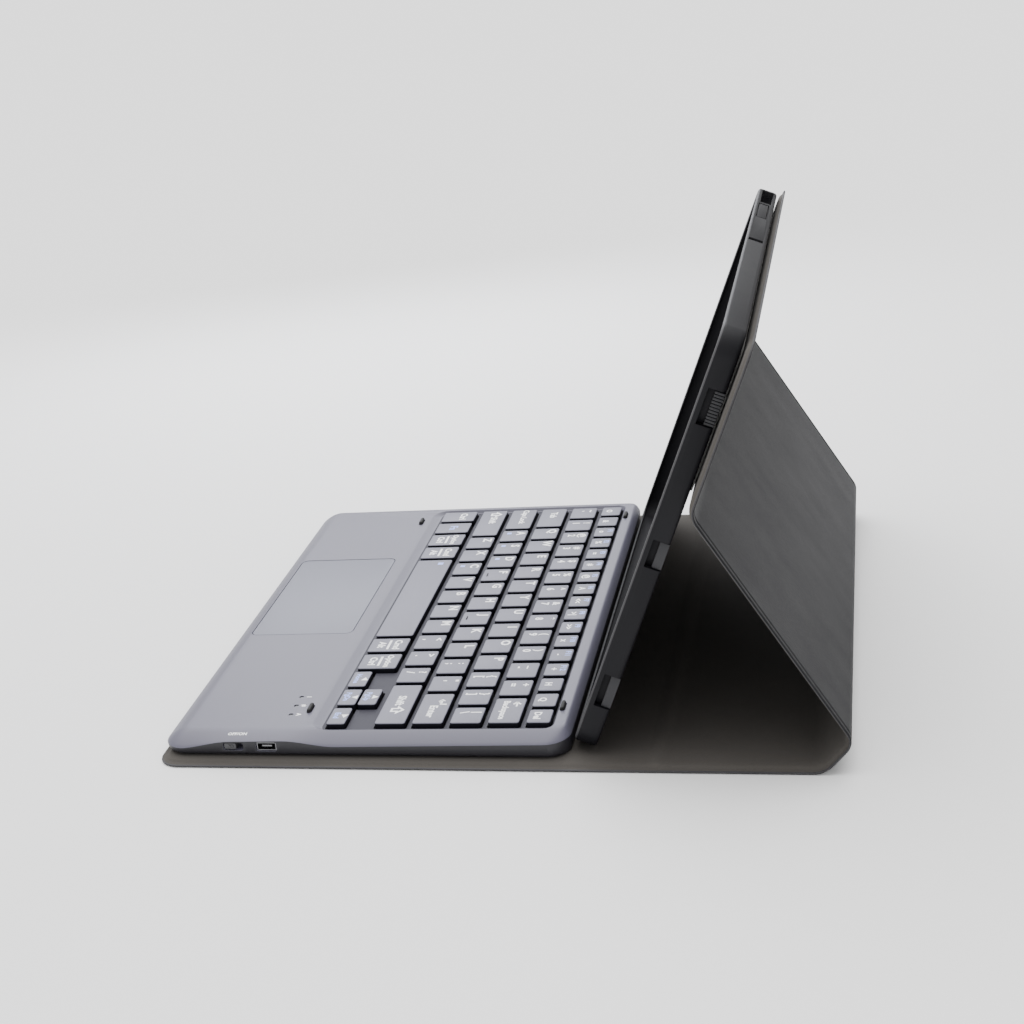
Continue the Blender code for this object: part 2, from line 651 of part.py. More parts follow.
def make_side_fittings(case):
    """Slide switch and charging port, in windows in the right side wall."""
    near = -KEYBOARD_HALF
    switch_x = KEY_ORIGIN.x + SWITCH_X
    port_x = KEY_ORIGIN.x + PORT_X
    low = SIDE_PORT_Z - SWITCH_WINDOW_HEIGHT / 2
    high = SIDE_PORT_Z + SWITCH_WINDOW_HEIGHT / 2
    combine(case, cutter(
        "switch_window", (switch_x - SWITCH_WINDOW / 2, near - SHOULDER, low),
        (switch_x + SWITCH_WINDOW / 2, near + SHOULDER * 0.6, high),
    ))
    start = switch_x - SWITCH_WINDOW / 2 + FIT
    block(
        "power_switch", (start, near + FIT, low + FIT), (start + SWITCH_KNOB, near + SHOULDER / 2, high - FIT),
        SHELL_PLASTIC, None,
    )
    port_low = SIDE_PORT_Z - PORT_HEIGHT / 2
    port_high = SIDE_PORT_Z + PORT_HEIGHT / 2
    combine(case, cutter(
        "port_window", (port_x - PORT_WIDTH / 2 - FIT, near - SHOULDER, port_low - FIT),
        (port_x + PORT_WIDTH / 2 + FIT, near + SHOULDER, port_high + FIT),
    ))
    skin = FIT
    port = block(
        "charge_port", (port_x - PORT_WIDTH / 2, near + 2 * FIT, port_low),
        (port_x + PORT_WIDTH / 2, near + PORT_DEPTH, port_high), STEEL,
    )
    combine(port, cutter(
        "port_mouth", (port_x - PORT_WIDTH / 2 + skin, near - FIT, port_low + skin),
        (port_x + PORT_WIDTH / 2 - skin, near + PORT_DEPTH - 2 * skin, port_high - skin),
    ))
    tongue = cutter(
        "port_tongue", (port_x - PORT_WIDTH / 4, near + 4 * FIT, SIDE_PORT_Z - FIT),
        (port_x + PORT_WIDTH / 4, near + PORT_DEPTH - skin, SIDE_PORT_Z + FIT),
    )
    combine(port, tongue, "UNION")


# Keys ----------------------------------------------------------------------


def add_key(shape, front, near, depth, width):
    low = (front, near, -KEY_HEIGHT)
    add_block(shape, low, (front + depth, near + width, 0), KEY_CORNER, 2, KEY_EDGE)


def unit_key(start, units=1.0):
    """Near edge and width of a key that takes a given number of units."""
    return start * KEY_UNIT, units * KEY_UNIT - KEY_SPACE


def single_key(name, deck, front, depth, near, width):
    shape = bmesh.new()
    add_key(shape, front, near, depth, width)
    return new_object(name, mesh_of(name, shape), PARTS, KEY_PLASTIC, deck)


def joined_row(name, deck, front, depth, start, count, units=1.0):
    """A run of equal keys on one thin bar below the deck."""
    shape = bmesh.new()
    step = units * KEY_UNIT
    width = step - KEY_SPACE
    near = start * KEY_UNIT
    for index in range(count):
        add_key(shape, front, near + index * step, depth, width)
    caps = new_object(name + "_caps", mesh_of(name + "_caps", shape), CUTTERS, None, deck)
    caps.hide_render = True
    caps.display_type = "WIRE"
    middle = front + depth / 2
    low = (middle - KEY_BAR_DEPTH / 2, near + KEY_SPACE, -KEY_HEIGHT - KEY_BAR)
    high = (middle + KEY_BAR_DEPTH / 2, near + (count - 1) * step + width - KEY_SPACE, KEY_EDGE - KEY_HEIGHT)
    bar = block(name, low, high, KEY_PLASTIC, deck)
    combine(bar, caps, "UNION")
    return bar


def make_keys(deck):
    end = LAST_KEY_EDGE
    joined_row("function_keys", deck, 4 * ROW_PITCH, FUNCTION_DEPTH, 0, FUNCTION_KEYS, FUNCTION_UNITS)
    rows = (
        ("number_keys", 3, BACKSPACE_UNITS, 13, "backspace_key", None),
        ("top_letter_keys", 2, 0.0, 13, None, "tab_key"),
        ("home_letter_keys", 1, ENTER_UNITS, 11, "enter_key", "caps_lock_key"),
        ("bottom_letter_keys", 0, RIGHT_SHIFT_UNITS, 10, "right_shift_key", "left_shift_key"),
    )
    for name, row, start, count, near_key, far_key in rows:
        front = row * ROW_PITCH
        units = BACKSLASH_UNITS if start == 0 else 1.0
        joined_row(name, deck, front, KEY_DEPTH, start, count, units)
        if near_key:
            single_key(near_key, deck, front, KEY_DEPTH, *unit_key(0, start))
        if far_key:
            used = start + count * units
            single_key(far_key, deck, front, KEY_DEPTH, *unit_key(used, end - used))
    make_bottom_row(deck)


def make_bottom_row(deck):
    front, deep, short = BOTTOM_ROW_FRONT, BOTTOM_ROW_DEPTH, ARROW_DEPTH
    for index, name in enumerate(("right_arrow_key", "down_arrow_key", "left_arrow_key")):
        single_key(name, deck, front, short, *unit_key(index * ARROW_UNITS, ARROW_UNITS))
    single_key("up_arrow_key", deck, front + short + ARROW_SPLIT, short, *unit_key(ARROW_UNITS, ARROW_UNITS))
    starts = (
        ("right_option_key", 3 * ARROW_UNITS), ("right_command_key", 4.12), ("space_bar", 5.10),
        ("left_command_key", 10.56), ("left_option_key", 11.57), ("fn_key", 12.57), ("control_key", 13.52),
    )
    ends = [start for _, start in starts[1:]] + [LAST_KEY_EDGE]
    for (name, start), stop in zip(starts, ends):
        single_key(name, deck, front, deep, *unit_key(start, stop - start))


clear_scene()
PARTS = new_collection("tablet_keyboard_case")
CUTTERS = new_collection("cutters", is_hidden=True)
LEATHER_SKIN = new_material("leather_skin", (0.045, 0.045, 0.050), 0.55)
LINING_CLOTH = new_material("lining_cloth", (0.070, 0.066, 0.060), 0.95)
BOARD_STOCK = new_material("board_stock", (0.35, 0.33, 0.30), 0.9)
STEEL = new_material("steel", (0.55, 0.55, 0.56), 0.35, 1.0)
SHELL_PLASTIC = new_material("shell_plastic", (0.030, 0.030, 0.034), 0.6)
ADHESIVE = new_material("adhesive", (0.60, 0.60, 0.58), 0.7)
CASE_PLASTIC = new_material("case_plastic", (0.25, 0.25, 0.28), 0.5)
PAD_PLASTIC = new_material("pad_plastic", (0.27, 0.27, 0.30), 0.45)
KEY_PLASTIC = new_material("key_plastic", (0.27, 0.27, 0.30), 0.5)
CIRCUIT = new_material("circuit", (0.02, 0.20, 0.06), 0.5)
ALUMINIUM = new_material("aluminium", (0.70, 0.70, 0.72), 0.4, 1.0)
MEMBRANE_FILM = new_material("membrane_film", (0.80, 0.80, 0.75), 0.4)
BATTERY_FOIL = new_material("battery_foil", (0.60, 0.60, 0.62), 0.4, 0.8)
RUBBER = new_material("rubber", (0.015, 0.015, 0.015), 0.85)
LIGHT_GUIDE = new_material("light_guide", (0.85, 0.85, 0.85), 0.2)

BACK, UPPER = make_cover()
make_shell(BACK, UPPER)
DECK = new_axis("key_deck_frame", KEY_ORIGIN, DECK_TILT)
TOP_CASE = make_top_case(DECK)
make_bottom_case()
make_touchpad(TOP_CASE, DECK)
make_keyboard_inside(DECK)
make_bumpers(TOP_CASE, DECK)
make_led_window(TOP_CASE, DECK)
make_side_fittings(TOP_CASE)
make_keys(DECK)
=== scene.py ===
"""The looks of the tablet keyboard case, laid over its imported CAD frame."""

import json
import math

import bmesh
import bpy
from mathutils import Matrix, Vector


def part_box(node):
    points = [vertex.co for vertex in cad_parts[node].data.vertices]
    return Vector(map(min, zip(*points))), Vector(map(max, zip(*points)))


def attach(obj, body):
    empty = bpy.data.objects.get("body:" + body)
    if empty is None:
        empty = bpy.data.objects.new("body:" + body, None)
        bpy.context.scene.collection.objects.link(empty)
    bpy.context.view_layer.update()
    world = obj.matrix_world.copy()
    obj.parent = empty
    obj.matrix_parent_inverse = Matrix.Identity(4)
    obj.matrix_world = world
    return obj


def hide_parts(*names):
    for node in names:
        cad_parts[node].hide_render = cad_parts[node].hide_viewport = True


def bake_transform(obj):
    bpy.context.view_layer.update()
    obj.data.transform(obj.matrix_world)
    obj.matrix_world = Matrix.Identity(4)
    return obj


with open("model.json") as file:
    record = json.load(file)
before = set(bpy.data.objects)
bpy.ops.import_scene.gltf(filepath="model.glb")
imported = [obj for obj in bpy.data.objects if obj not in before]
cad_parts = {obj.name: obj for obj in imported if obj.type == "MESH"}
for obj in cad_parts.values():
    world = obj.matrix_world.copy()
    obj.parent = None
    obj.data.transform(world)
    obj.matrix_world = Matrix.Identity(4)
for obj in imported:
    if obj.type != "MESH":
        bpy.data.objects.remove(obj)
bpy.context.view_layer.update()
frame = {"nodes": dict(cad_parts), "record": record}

JOINTS = {joint["name"]: joint for joint in frame["record"]["behaviour"]["joints"]}
SCENE = bpy.context.scene

# Materials ------------------------------------------------------------------

PATCH_DETAIL = 4
GRAIN_DETAIL = 3
RAMP_START = 0.3
RAMP_END = 0.7
LEAST_ROUGHNESS = 0.02


def node_group(material):
    material.use_nodes = True
    return material.node_tree.nodes, material.node_tree.links


def surface(
    name, colour, roughness, grain=900.0, bump=0.1, variation=0.08, metallic=0.0,
    stretch=(1, 1, 1), turn=(0, 0, 0), patches=18.0, depth=0.0001, sheen=0.0, spread=0.08, specular=0.5,
):
    """A procedural finish: patchy colour, fine grain in the bump, and uneven roughness."""
    material = bpy.data.materials.new(name)
    nodes, links = node_group(material)
    shader = nodes["Principled BSDF"]
    shader.inputs["Metallic"].default_value = metallic
    shader.inputs["Specular IOR Level"].default_value = specular
    shader.inputs["Sheen Weight"].default_value = sheen
    place = nodes.new("ShaderNodeTexCoord")
    mapping = nodes.new("ShaderNodeMapping")
    mapping.inputs["Scale"].default_value = stretch
    mapping.inputs["Rotation"].default_value = turn
    links.new(place.outputs["Object"], mapping.inputs["Vector"])

    patch = nodes.new("ShaderNodeTexNoise")
    patch.inputs["Scale"].default_value = patches
    patch.inputs["Detail"].default_value = PATCH_DETAIL
    links.new(mapping.outputs["Vector"], patch.inputs["Vector"])
    fine = nodes.new("ShaderNodeTexNoise")
    fine.inputs["Scale"].default_value = grain
    fine.inputs["Detail"].default_value = GRAIN_DETAIL
    links.new(mapping.outputs["Vector"], fine.inputs["Vector"])

    both = nodes.new("ShaderNodeMix")
    both.data_type = "FLOAT"
    both.inputs["Factor"].default_value = 0.5
    links.new(patch.outputs["Fac"], both.inputs["A"])
    links.new(fine.outputs["Fac"], both.inputs["B"])
    ramp = nodes.new("ShaderNodeValToRGB")
    ramp.color_ramp.elements[0].position = RAMP_START
    ramp.color_ramp.elements[1].position = RAMP_END
    ramp.color_ramp.elements[0].color = (*[c * (1 - variation) for c in colour], 1)
    ramp.color_ramp.elements[1].color = (*[min(c * (1 + variation), 1) for c in colour], 1)
    links.new(both.outputs["Result"], ramp.inputs["Fac"])
    links.new(ramp.outputs["Color"], shader.inputs["Base Color"])

    rough = nodes.new("ShaderNodeMapRange")
    rough.inputs["To Min"].default_value = max(roughness - spread, LEAST_ROUGHNESS)
    rough.inputs["To Max"].default_value = min(roughness + spread, 1)
    links.new(both.outputs["Result"], rough.inputs["Value"])
    links.new(rough.outputs["Result"], shader.inputs["Roughness"])

    relief = nodes.new("ShaderNodeBump")
    relief.inputs["Strength"].default_value = bump
    relief.inputs["Distance"].default_value = depth
    links.new(fine.outputs["Fac"], relief.inputs["Height"])
    links.new(relief.outputs["Normal"], shader.inputs["Normal"])
    return material


LEATHER = surface(
    "leather", (0.0062, 0.0060, 0.0076), 0.58, grain=1500, bump=0.8, variation=0.35,
    stretch=(1, 1, 0.20), turn=(0.5, 0.4, 0), patches=70, depth=0.00015, spread=0.12, specular=0.16,
)
LINING = surface(
    "lining", (0.070, 0.064, 0.058), 0.92, grain=2200, bump=0.5, variation=0.12,
    patches=30, depth=0.0001, sheen=0.05, specular=0.2,
)
# Pale edge colour, used on the cover's rolled edge and, as a painted highlight, on the tablet shell's lip.
PALE_EDGE_AND_LIP_HIGHLIGHT = surface(
    "pale_edge_and_painted_lip_highlight", (0.045, 0.044, 0.047), 0.6, grain=1500, bump=0.4, variation=0.2, patches=80, specular=0.3,
)
SHELL = surface(
    "shell_plastic", (0.0062, 0.0061, 0.0080), 0.55, grain=2600, bump=0.25, variation=0.1,
    patches=40, specular=0.18,
)
RIBS = surface("shell_ribs", (0.014, 0.014, 0.017), 0.6, grain=2000, bump=0.2, variation=0.1)
# Painted shade: the key well's floor and slots get this darker colour in place of the shade the keys cast on
# them.
WELL_SHADE = surface(
    "well_painted_shade", (0.042, 0.041, 0.054), 0.6, grain=3000, bump=0.2, variation=0.05,
    patches=12, specular=0.2,
)
CASE = surface(
    "case_plastic", (0.106, 0.103, 0.140), 0.44, grain=3000, bump=0.22, variation=0.05, patches=12,
)
# Painted shade: the housing's upright side gets this darker colour in place of the shade that falls on it.
CASE_WALL_SHADE = surface(
    "case_wall_painted_shade", (0.015, 0.0145, 0.019), 0.5, grain=3000, bump=0.2, variation=0.06, patches=12,
)
UNDERSIDE = surface("underside_plastic", (0.05, 0.05, 0.055), 0.6, grain=2200, bump=0.3, variation=0.1)
PAD = surface(
    "touchpad_face", (0.126, 0.129, 0.170), 0.40, grain=3500, bump=0.12, variation=0.04, patches=10,
)
KEY_TOP = surface("key_top", (0.142, 0.141, 0.184), 0.46, grain=3200, bump=0.16, variation=0.05, patches=60)
KEY_SIDE = surface(
    "key_side", (0.003, 0.003, 0.007), 0.5, grain=2500, bump=0.15, variation=0.2, specular=0.2,
)
LEGEND = surface("legend_white", (0.97, 0.97, 0.98), 0.5, grain=2500, bump=0.1, variation=0.05)
LEGEND_BLUE = surface("legend_blue", (0.36, 0.46, 0.95), 0.5, grain=2500, bump=0.1, variation=0.05)
RUBBER = surface("bumper_rubber", (0.010, 0.010, 0.011), 0.75, grain=2500, bump=0.3, variation=0.2)
FILM = surface("membrane_film", (0.008, 0.008, 0.009), 0.6, grain=2500, bump=0.2, variation=0.2)
PLATE = surface(
    "plate_metal", (0.55, 0.55, 0.57), 0.4, grain=900, bump=0.1, metallic=1.0, stretch=(1, 9, 1),
)
STEEL = surface("steel", (0.42, 0.42, 0.44), 0.35, grain=900, bump=0.1, metallic=1.0, stretch=(9, 1, 1))
CIRCUIT = surface("circuit_board", (0.015, 0.12, 0.05), 0.45, grain=700, bump=0.3, variation=0.3)
FOIL = surface("battery_foil", (0.5, 0.5, 0.52), 0.35, grain=500, bump=0.5, metallic=0.8, patches=60)
FOAM = surface("adhesive_foam", (0.30, 0.30, 0.29), 0.9, grain=1200, bump=0.6, variation=0.1)
GUIDE = surface("light_guide", (0.02, 0.02, 0.02), 0.25, grain=1500, bump=0.1)
BOARD = surface("stiffening_board", (0.28, 0.27, 0.25), 0.9, grain=800, bump=0.5, variation=0.15)
SWITCH = surface("switch_plastic", (0.05, 0.05, 0.055), 0.45, grain=2500, bump=0.2)
PORT = surface("port_metal", (0.20, 0.20, 0.21), 0.3, grain=1500, bump=0.1, metallic=1.0)

CAD_FINISH = {
    "front_board": BOARD, "rear_board": BOARD, "stand_board": BOARD, "upper_board": BOARD,
    "front_catch_strip": STEEL, "rear_catch_strip": STEEL, "front_magnet": STEEL, "rear_magnet": STEEL,
    "keyboard_bottom_case": UNDERSIDE, "main_board": CIRCUIT, "touchpad_board": CIRCUIT, "battery": FOIL,
    "key_plate": PLATE, "membrane": FILM, "charge_port": PORT, "led_guide": GUIDE,
}
for node_name, finish in CAD_FINISH.items():
    node = frame["nodes"][node_name]
    node.data.materials.clear()
    node.data.materials.append(finish)

# Mesh helpers ---------------------------------------------------------------

SHARP_ANGLE = 35.0
EDGE_STEPS = 3
SOFT_SEGMENTS = 2
LEAST_RADIUS = 0.00005
MERGE_DISTANCE = 1e-6


def mark_smooth(shape, angle):
    """Smooth faces, with sharp edges where two of them turn by more than the angle in degrees."""
    for face in shape.faces:
        face.smooth = True
    for edge in shape.edges:
        edge.smooth = not (len(edge.link_faces) == 2 and edge.calc_face_angle(0) > math.radians(angle))


def new_piece(name, shape, materials, matrix=None, angle=SHARP_ANGLE):
    """A mesh object from a bmesh, smooth except across edges sharper than the given angle."""
    if matrix is not None:
        bmesh.ops.transform(shape, matrix=matrix, verts=shape.verts)
    bmesh.ops.recalc_face_normals(shape, faces=shape.faces)
    mark_smooth(shape, angle)
    mesh = bpy.data.meshes.new(name)
    shape.to_mesh(mesh)
    shape.free()
    for material in materials:
        mesh.materials.append(material)
    piece = bpy.data.objects.new(name, mesh)
    SCENE.collection.objects.link(piece)
    return piece


def rounded_outline(low_x, high_x, low_y, high_y, radii, steps=6, near_points=0):
    """Points round a rectangle, anticlockwise from above. Radii are for the corners ++, -+, -- and +-."""
    corners = (
        (high_x, high_y, -1, -1), (low_x, high_y, 1, -1), (low_x, low_y, 1, 1), (high_x, low_y, -1, 1),
    )
    points = []
    for quarter, ((x, y, inward_x, inward_y), radius) in enumerate(zip(corners, radii)):
        for step in range(steps + 1):
            turn = math.pi / 2 * (quarter + step / steps)
            points.append((
                x + inward_x * radius + radius * math.cos(turn),
                y + inward_y * radius + radius * math.sin(turn),
            ))
        if quarter == 2 and near_points:
            start = low_x + radii[2]
            length = high_x - radii[3] - start
            for step in range(1, near_points):
                points.append((start + length * step / near_points, low_y))
    return points


def loft(shape, rings, material_of=None):
    """Skins a list of rings with equal numbers of 3-D points, and caps both ends."""
    loops = [[shape.verts.new(point) for point in ring] for ring in rings]
    for level, (lower, upper) in enumerate(zip(loops, loops[1:])):
        for index, vert in enumerate(lower):
            after = (index + 1) % len(lower)
            face = shape.faces.new((vert, lower[after], upper[after], upper[index]))
            face.material_index = material_of(level) if material_of else 0
    first = shape.faces.new(loops[0][::-1])
    first.material_index = material_of(0) if material_of else 0
    last = shape.faces.new(loops[-1])
    last.material_index = material_of(len(rings) - 2) if material_of else 0
    return loops


def second_material(level):
    """Gives a whole block the second of its piece's materials."""
    return 1


def add_rounded_block(shape, low, high, corner, steps=4, top_edge=0.0, draft=0.0, material_of=None):
    """Adds a block with round upright edges and, where top_edge is set, a round edge at its top."""
    def ring(inset, z):
        radius = max(corner - inset, LEAST_RADIUS)
        outline = rounded_outline(
            low[0] + inset, high[0] - inset, low[1] + inset, high[1] - inset, (radius,) * 4, steps,
        )
        return [(x, y, z) for x, y in outline]

    rings = [ring(0, low[2])]
    if top_edge:
        rings.append(ring(draft, high[2] - top_edge))
        for step in range(1, EDGE_STEPS + 1):
            turn = math.pi / 2 * step / EDGE_STEPS
            inset = draft + top_edge * (1 - math.cos(turn))
            rings.append(ring(inset, high[2] - top_edge * (1 - math.sin(turn))))
    else:
        rings.append(ring(draft, high[2]))
    loft(shape, rings, material_of)


def block_shape(low, high, corner, steps=4, top_edge=0.0):
    """A rounded block as a bmesh of its own."""
    shape = bmesh.new()
    add_rounded_block(shape, low, high, corner, steps, top_edge)
    return shape


def centred_block(x, y, half_x, half_y, bottom, top, corner, steps, top_edge=0.0):
    """A rounded block with its middle at (x, y)."""
    low = (x - half_x, y - half_y, bottom)
    high = (x + half_x, y + half_y, top)
    return block_shape(low, high, corner, steps, top_edge)


def bake_modifiers(piece):
    """Makes the mesh that the modifiers give the piece's own."""
    bpy.context.view_layer.update()
    graph = bpy.context.evaluated_depsgraph_get()
    result = bpy.data.meshes.new_from_object(piece.evaluated_get(graph))
    piece.modifiers.clear()
    old = piece.data
    piece.data = result
    result.name = piece.name
    bpy.data.meshes.remove(old)


def cut_away(piece, shape, matrix=None):
    """Cuts a bmesh out of a piece for good."""
    if matrix is not None:
        bmesh.ops.transform(shape, matrix=matrix, verts=shape.verts)
    bmesh.ops.recalc_face_normals(shape, faces=shape.faces)
    mesh = bpy.data.meshes.new("tool")
    shape.to_mesh(mesh)
    shape.free()
    for material in piece.data.materials:
        mesh.materials.append(material)
    tool = bpy.data.objects.new("tool", mesh)
    SCENE.collection.objects.link(tool)
    step = piece.modifiers.new("cut", "BOOLEAN")
    step.operation = "DIFFERENCE"
    step.solver = "EXACT"
    step.object = tool
    bake_modifiers(piece)
    bpy.data.objects.remove(tool)
    bpy.data.meshes.remove(mesh)


def resmooth(piece, angle):
    """Joins points that coincide and marks the sharp edges afresh."""
    shape = bmesh.new()
    shape.from_mesh(piece.data)
    bmesh.ops.remove_doubles(shape, verts=shape.verts, dist=MERGE_DISTANCE)
    mark_smooth(shape, angle)
    shape.to_mesh(piece.data)
    shape.free()


def soften(piece, width, angle):
    """Rounds a piece's sharp edges and evens its shading."""
    bevel = piece.modifiers.new("bevel", "BEVEL")
    bevel.width = width
    bevel.segments = SOFT_SEGMENTS
    bevel.limit_method = "ANGLE"
    bevel.angle_limit = math.radians(angle)
    bevel.use_clamp_overlap = True
    bake_modifiers(piece)
    resmooth(piece, angle)


# Cover ----------------------------------------------------------------------

FRONT_LOW, FRONT_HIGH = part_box("front_leather")
HALF_WIDTH = (FRONT_HIGH[1] - FRONT_LOW[1]) / 2
SPINE = Vector(JOINTS["spine_fold"]["pos_m"])
FOLD = Vector(JOINTS["rear_fold"]["pos_m"])
STAND = Vector(JOINTS["stand_fold"]["pos_m"])
CREASE = Vector(JOINTS["back_crease"]["pos_m"])
HALF_THICK = SPINE.z
RECLINE = math.radians(68.2)
UP_BACK = Vector((math.cos(RECLINE), 0, math.sin(RECLINE)))
OUT_FRONT = Vector((-math.sin(RECLINE), 0, math.cos(RECLINE)))
UPPER_LENGTH = 0.0676
COVER_CORNER = 0.009
CORNER_STEPS = 8
INNER_RADIUS = 0.0005
SQUARE_RADIUS = 0.00001
TRIM = 0.0045
FOLD_STEPS = 14
COVER_ANGLE = 50
COVER_FINISHES = (LEATHER, LINING, PALE_EDGE_AND_LIP_HIGHLIGHT)
# Inset from the panel's edge and height across its thickness, from the outside to the lining.
COVER_PROFILE = (
    (0.0044, -1.0), (0.0038, -0.98), (0.0033, -0.74), (0.0028, -0.74), (0.0023, -0.95), (0.0012, -1.0),
    (0.0003, -0.88), (0.0, -0.60), (0.0001, -0.28), (0.0006, -0.10), (0.0016, -0.04),
    (0.0022, 0.10), (0.0026, 0.42), (0.0032, 0.74), (0.0042, 0.88), (0.0055, 0.95),
)
LEATHER_LEVELS = 7
RIM_LEVELS = 9


def cover_frame(start, along):
    """Local x along the panel, y across, z towards the lining."""
    inward = Vector((-along.z, 0, along.x))
    return Matrix((
        (along.x, 0, inward.x, start.x),
        (0, 1, 0, 0),
        (along.z, 0, inward.z, start.z),
        (0, 0, 0, 1),
    ))


def cover_material(level):
    """Leather outside, a paler edge, and lining inside."""
    if level < LEATHER_LEVELS:
        return 0
    return 2 if level < RIM_LEVELS else 1


def cover_panel(name, start, end, free_end):
    """A panel with a rolled edge. free_end is -1 at its start, 1 at its end, or 0 if both ends fold."""
    along = (end - start).normalized()
    length = (end - start).length
    low_x = 0.0 if free_end == -1 else TRIM
    high_x = length if free_end == 1 else length - TRIM
    rings = []
    for inset, share in COVER_PROFILE:
        round_radius = max(COVER_CORNER - inset, INNER_RADIUS)
        start_inset, start_radius = (inset, round_radius) if free_end == -1 else (0, SQUARE_RADIUS)
        end_inset, end_radius = (inset, round_radius) if free_end == 1 else (0, SQUARE_RADIUS)
        outline = rounded_outline(
            low_x + start_inset, high_x - end_inset, inset - HALF_WIDTH, HALF_WIDTH - inset,
            (end_radius, start_radius, start_radius, end_radius), CORNER_STEPS,
        )
        rings.append([(x, y, share * HALF_THICK) for x, y in outline])
    shape = bmesh.new()
    loft(shape, rings, cover_material)
    return new_piece(name, shape, COVER_FINISHES, cover_frame(start, along), COVER_ANGLE)


def paint_section(shape, loops):
    """Gives a swept strip the same three finishes as the panels."""
    half_count = len(COVER_PROFILE)
    which = {}
    for loop in loops:
        for index, vert in enumerate(loop):
            which[vert] = index
    for face in shape.faces:
        indices = sorted({which[vert] for vert in face.verts})
        if len(indices) != 2:
            continue
        low, high = indices
        if high - low > 1:
            face.material_index = 0
        elif low == half_count - 1:
            face.material_index = 1
        else:
            level = low if low < half_count else 2 * half_count - 2 - low
            face.material_index = cover_material(level)


def fold_strip_piece(name, before, hinge, after, lift):
    """The soft strip across a fold: the panels' section swept round the bend, with the lining lifted."""
    start = hinge + (before - hinge).normalized() * TRIM
    end = hinge + (after - hinge).normalized() * TRIM
    section = [(inset - HALF_WIDTH, share * HALF_THICK) for inset, share in COVER_PROFILE]
    section += [(-y, z) for y, z in section[::-1]]
    rings = []
    for step in range(FOLD_STEPS + 1):
        t = step / FOLD_STEPS
        point = start * (1 - t) ** 2 + hinge * (2 * t * (1 - t)) + end * t ** 2
        slope = ((hinge - start) * (1 - t) + (end - hinge) * t).normalized()
        inward = Vector((-slope.z, 0, slope.x))
        swell = lift * math.sin(math.pi * t) ** 2
        ring = []
        for y, z in section:
            ring.append(point + inward * (z + (swell if z > 0 else 0)) + Vector((0, y, 0)))
        rings.append(ring)
    shape = bmesh.new()
    loops = loft(shape, rings)
    paint_section(shape, loops)
    return new_piece(name, shape, COVER_FINISHES, angle=COVER_ANGLE), start, end


front_start = Vector((FRONT_LOW[0], 0, HALF_THICK))
upper_end = CREASE + UP_BACK * UPPER_LENGTH
# Name, start, end, free end, body, and the CAD nodes' first word.
panels = (
    ("front_panel", front_start, SPINE, -1, "base", "front"),
    ("rear_panel_skin", SPINE, FOLD, 0, "rear_panel", "rear"),
    ("fold_panel_skin", FOLD, STAND, 0, "fold_strip", "fold"),
    ("stand_panel", STAND, CREASE, 0, "stand", "stand"),
    ("upper_panel", CREASE, upper_end, 1, "tablet_side", "upper"),
)
cover_pieces = {}
for name, start, end, free_end, body, prefix in panels:
    cover_pieces[name] = cover_panel(name, start, end, free_end)

# Name, points before, at and after the fold, the two bodies, and the lining's lift.
folds = (
    ("spine_soft_fold", front_start, SPINE, FOLD, "base", "rear_panel", 0.0007),
    ("rear_soft_fold", SPINE, FOLD, STAND, "rear_panel", "fold_strip", 0.0),
    ("stand_soft_fold", FOLD, STAND, CREASE, "fold_strip", "stand", 0.0),
    ("crease_soft_fold", STAND, CREASE, upper_end, "stand", "tablet_side", 0.0),
)
for name, before, hinge, after, body_a, body_b, lift in folds:
    piece, start, end = fold_strip_piece(name, before, hinge, after, lift)
    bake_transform(piece)

# Tablet shell ---------------------------------------------------------------

SHELL_WIDTH = 0.242
SHELL_HEIGHT = 0.177
SHELL_CORNER = 0.010
SHELL_WALL = 0.0022
SHELL_FLOOR = 0.0017
PAD_ROOM = 0.0012
FOOT_TO_CREASE = 0.110
SHELL_BACK = HALF_THICK + PAD_ROOM
SHELL_FOOT = CREASE - UP_BACK * FOOT_TO_CREASE + OUT_FRONT * SHELL_BACK
SHELL_FRAME = Matrix((
    (UP_BACK.x, 0, OUT_FRONT.x, SHELL_FOOT.x),
    (0, 1, 0, 0),
    (UP_BACK.z, 0, OUT_FRONT.z, SHELL_FOOT.z),
    (0, 0, 0, 1),
))
# Inset from the side and height above the back: up the outside, over the lip and down to the floor.
SHELL_PROFILE = (
    (0.0016, 0.0), (0.0007, 0.00018), (0.00015, 0.0008), (0.0, 0.0018), (0.0, 0.0076),
    (0.0002, 0.0083), (0.0007, 0.0088), (0.0013, 0.0090), (0.0024, 0.0089), (0.0030, 0.0086),
    (0.0031, 0.0082), (0.0026, 0.0080), (0.0022, 0.0078), (0.0022, 0.0021), (0.0025, 0.0016),
    (0.0032, 0.0014),
)
LIP_START = 5
LIP_END = 9
SHELL_SOFTNESS = 0.0003
SHELL_ANGLE = 40
# Centre and length along the tray's side, and whether the edging in the slot is ribbed.
SIDE_SLOTS = ((0.0282, 0.0143, False), (0.0885, 0.0116, False), (0.1488, 0.0143, True))
# Centre and length across the top wall, and the height of the upper edge.
TOP_SLOTS = ((0.016, 0.0038, 0.0079), (0.098, 0.024, 0.0070))
TOP_CUT_START = SHELL_HEIGHT - 0.0044
TOP_CUT_END = SHELL_HEIGHT + 0.003
BUTTON_MIDDLE = 0.070
BUTTON_LEVEL = 0.0049
BUTTON_HALF_LENGTH = 0.0128
BUTTON_HALF_HEIGHT = 0.0021
BUTTON_CORNER = 0.0009
WINDOW_HALF_LENGTH = 0.0134
WINDOW_HALF_HEIGHT = 0.0024
CAMERA_INSET = 0.021
CAMERA_HALF = 0.011
CAMERA_CORNER = 0.0055


def shell_material(level):
    """The lip has the paler edge colour, as a painted highlight."""
    return 1 if LIP_START <= level < LIP_END else 0


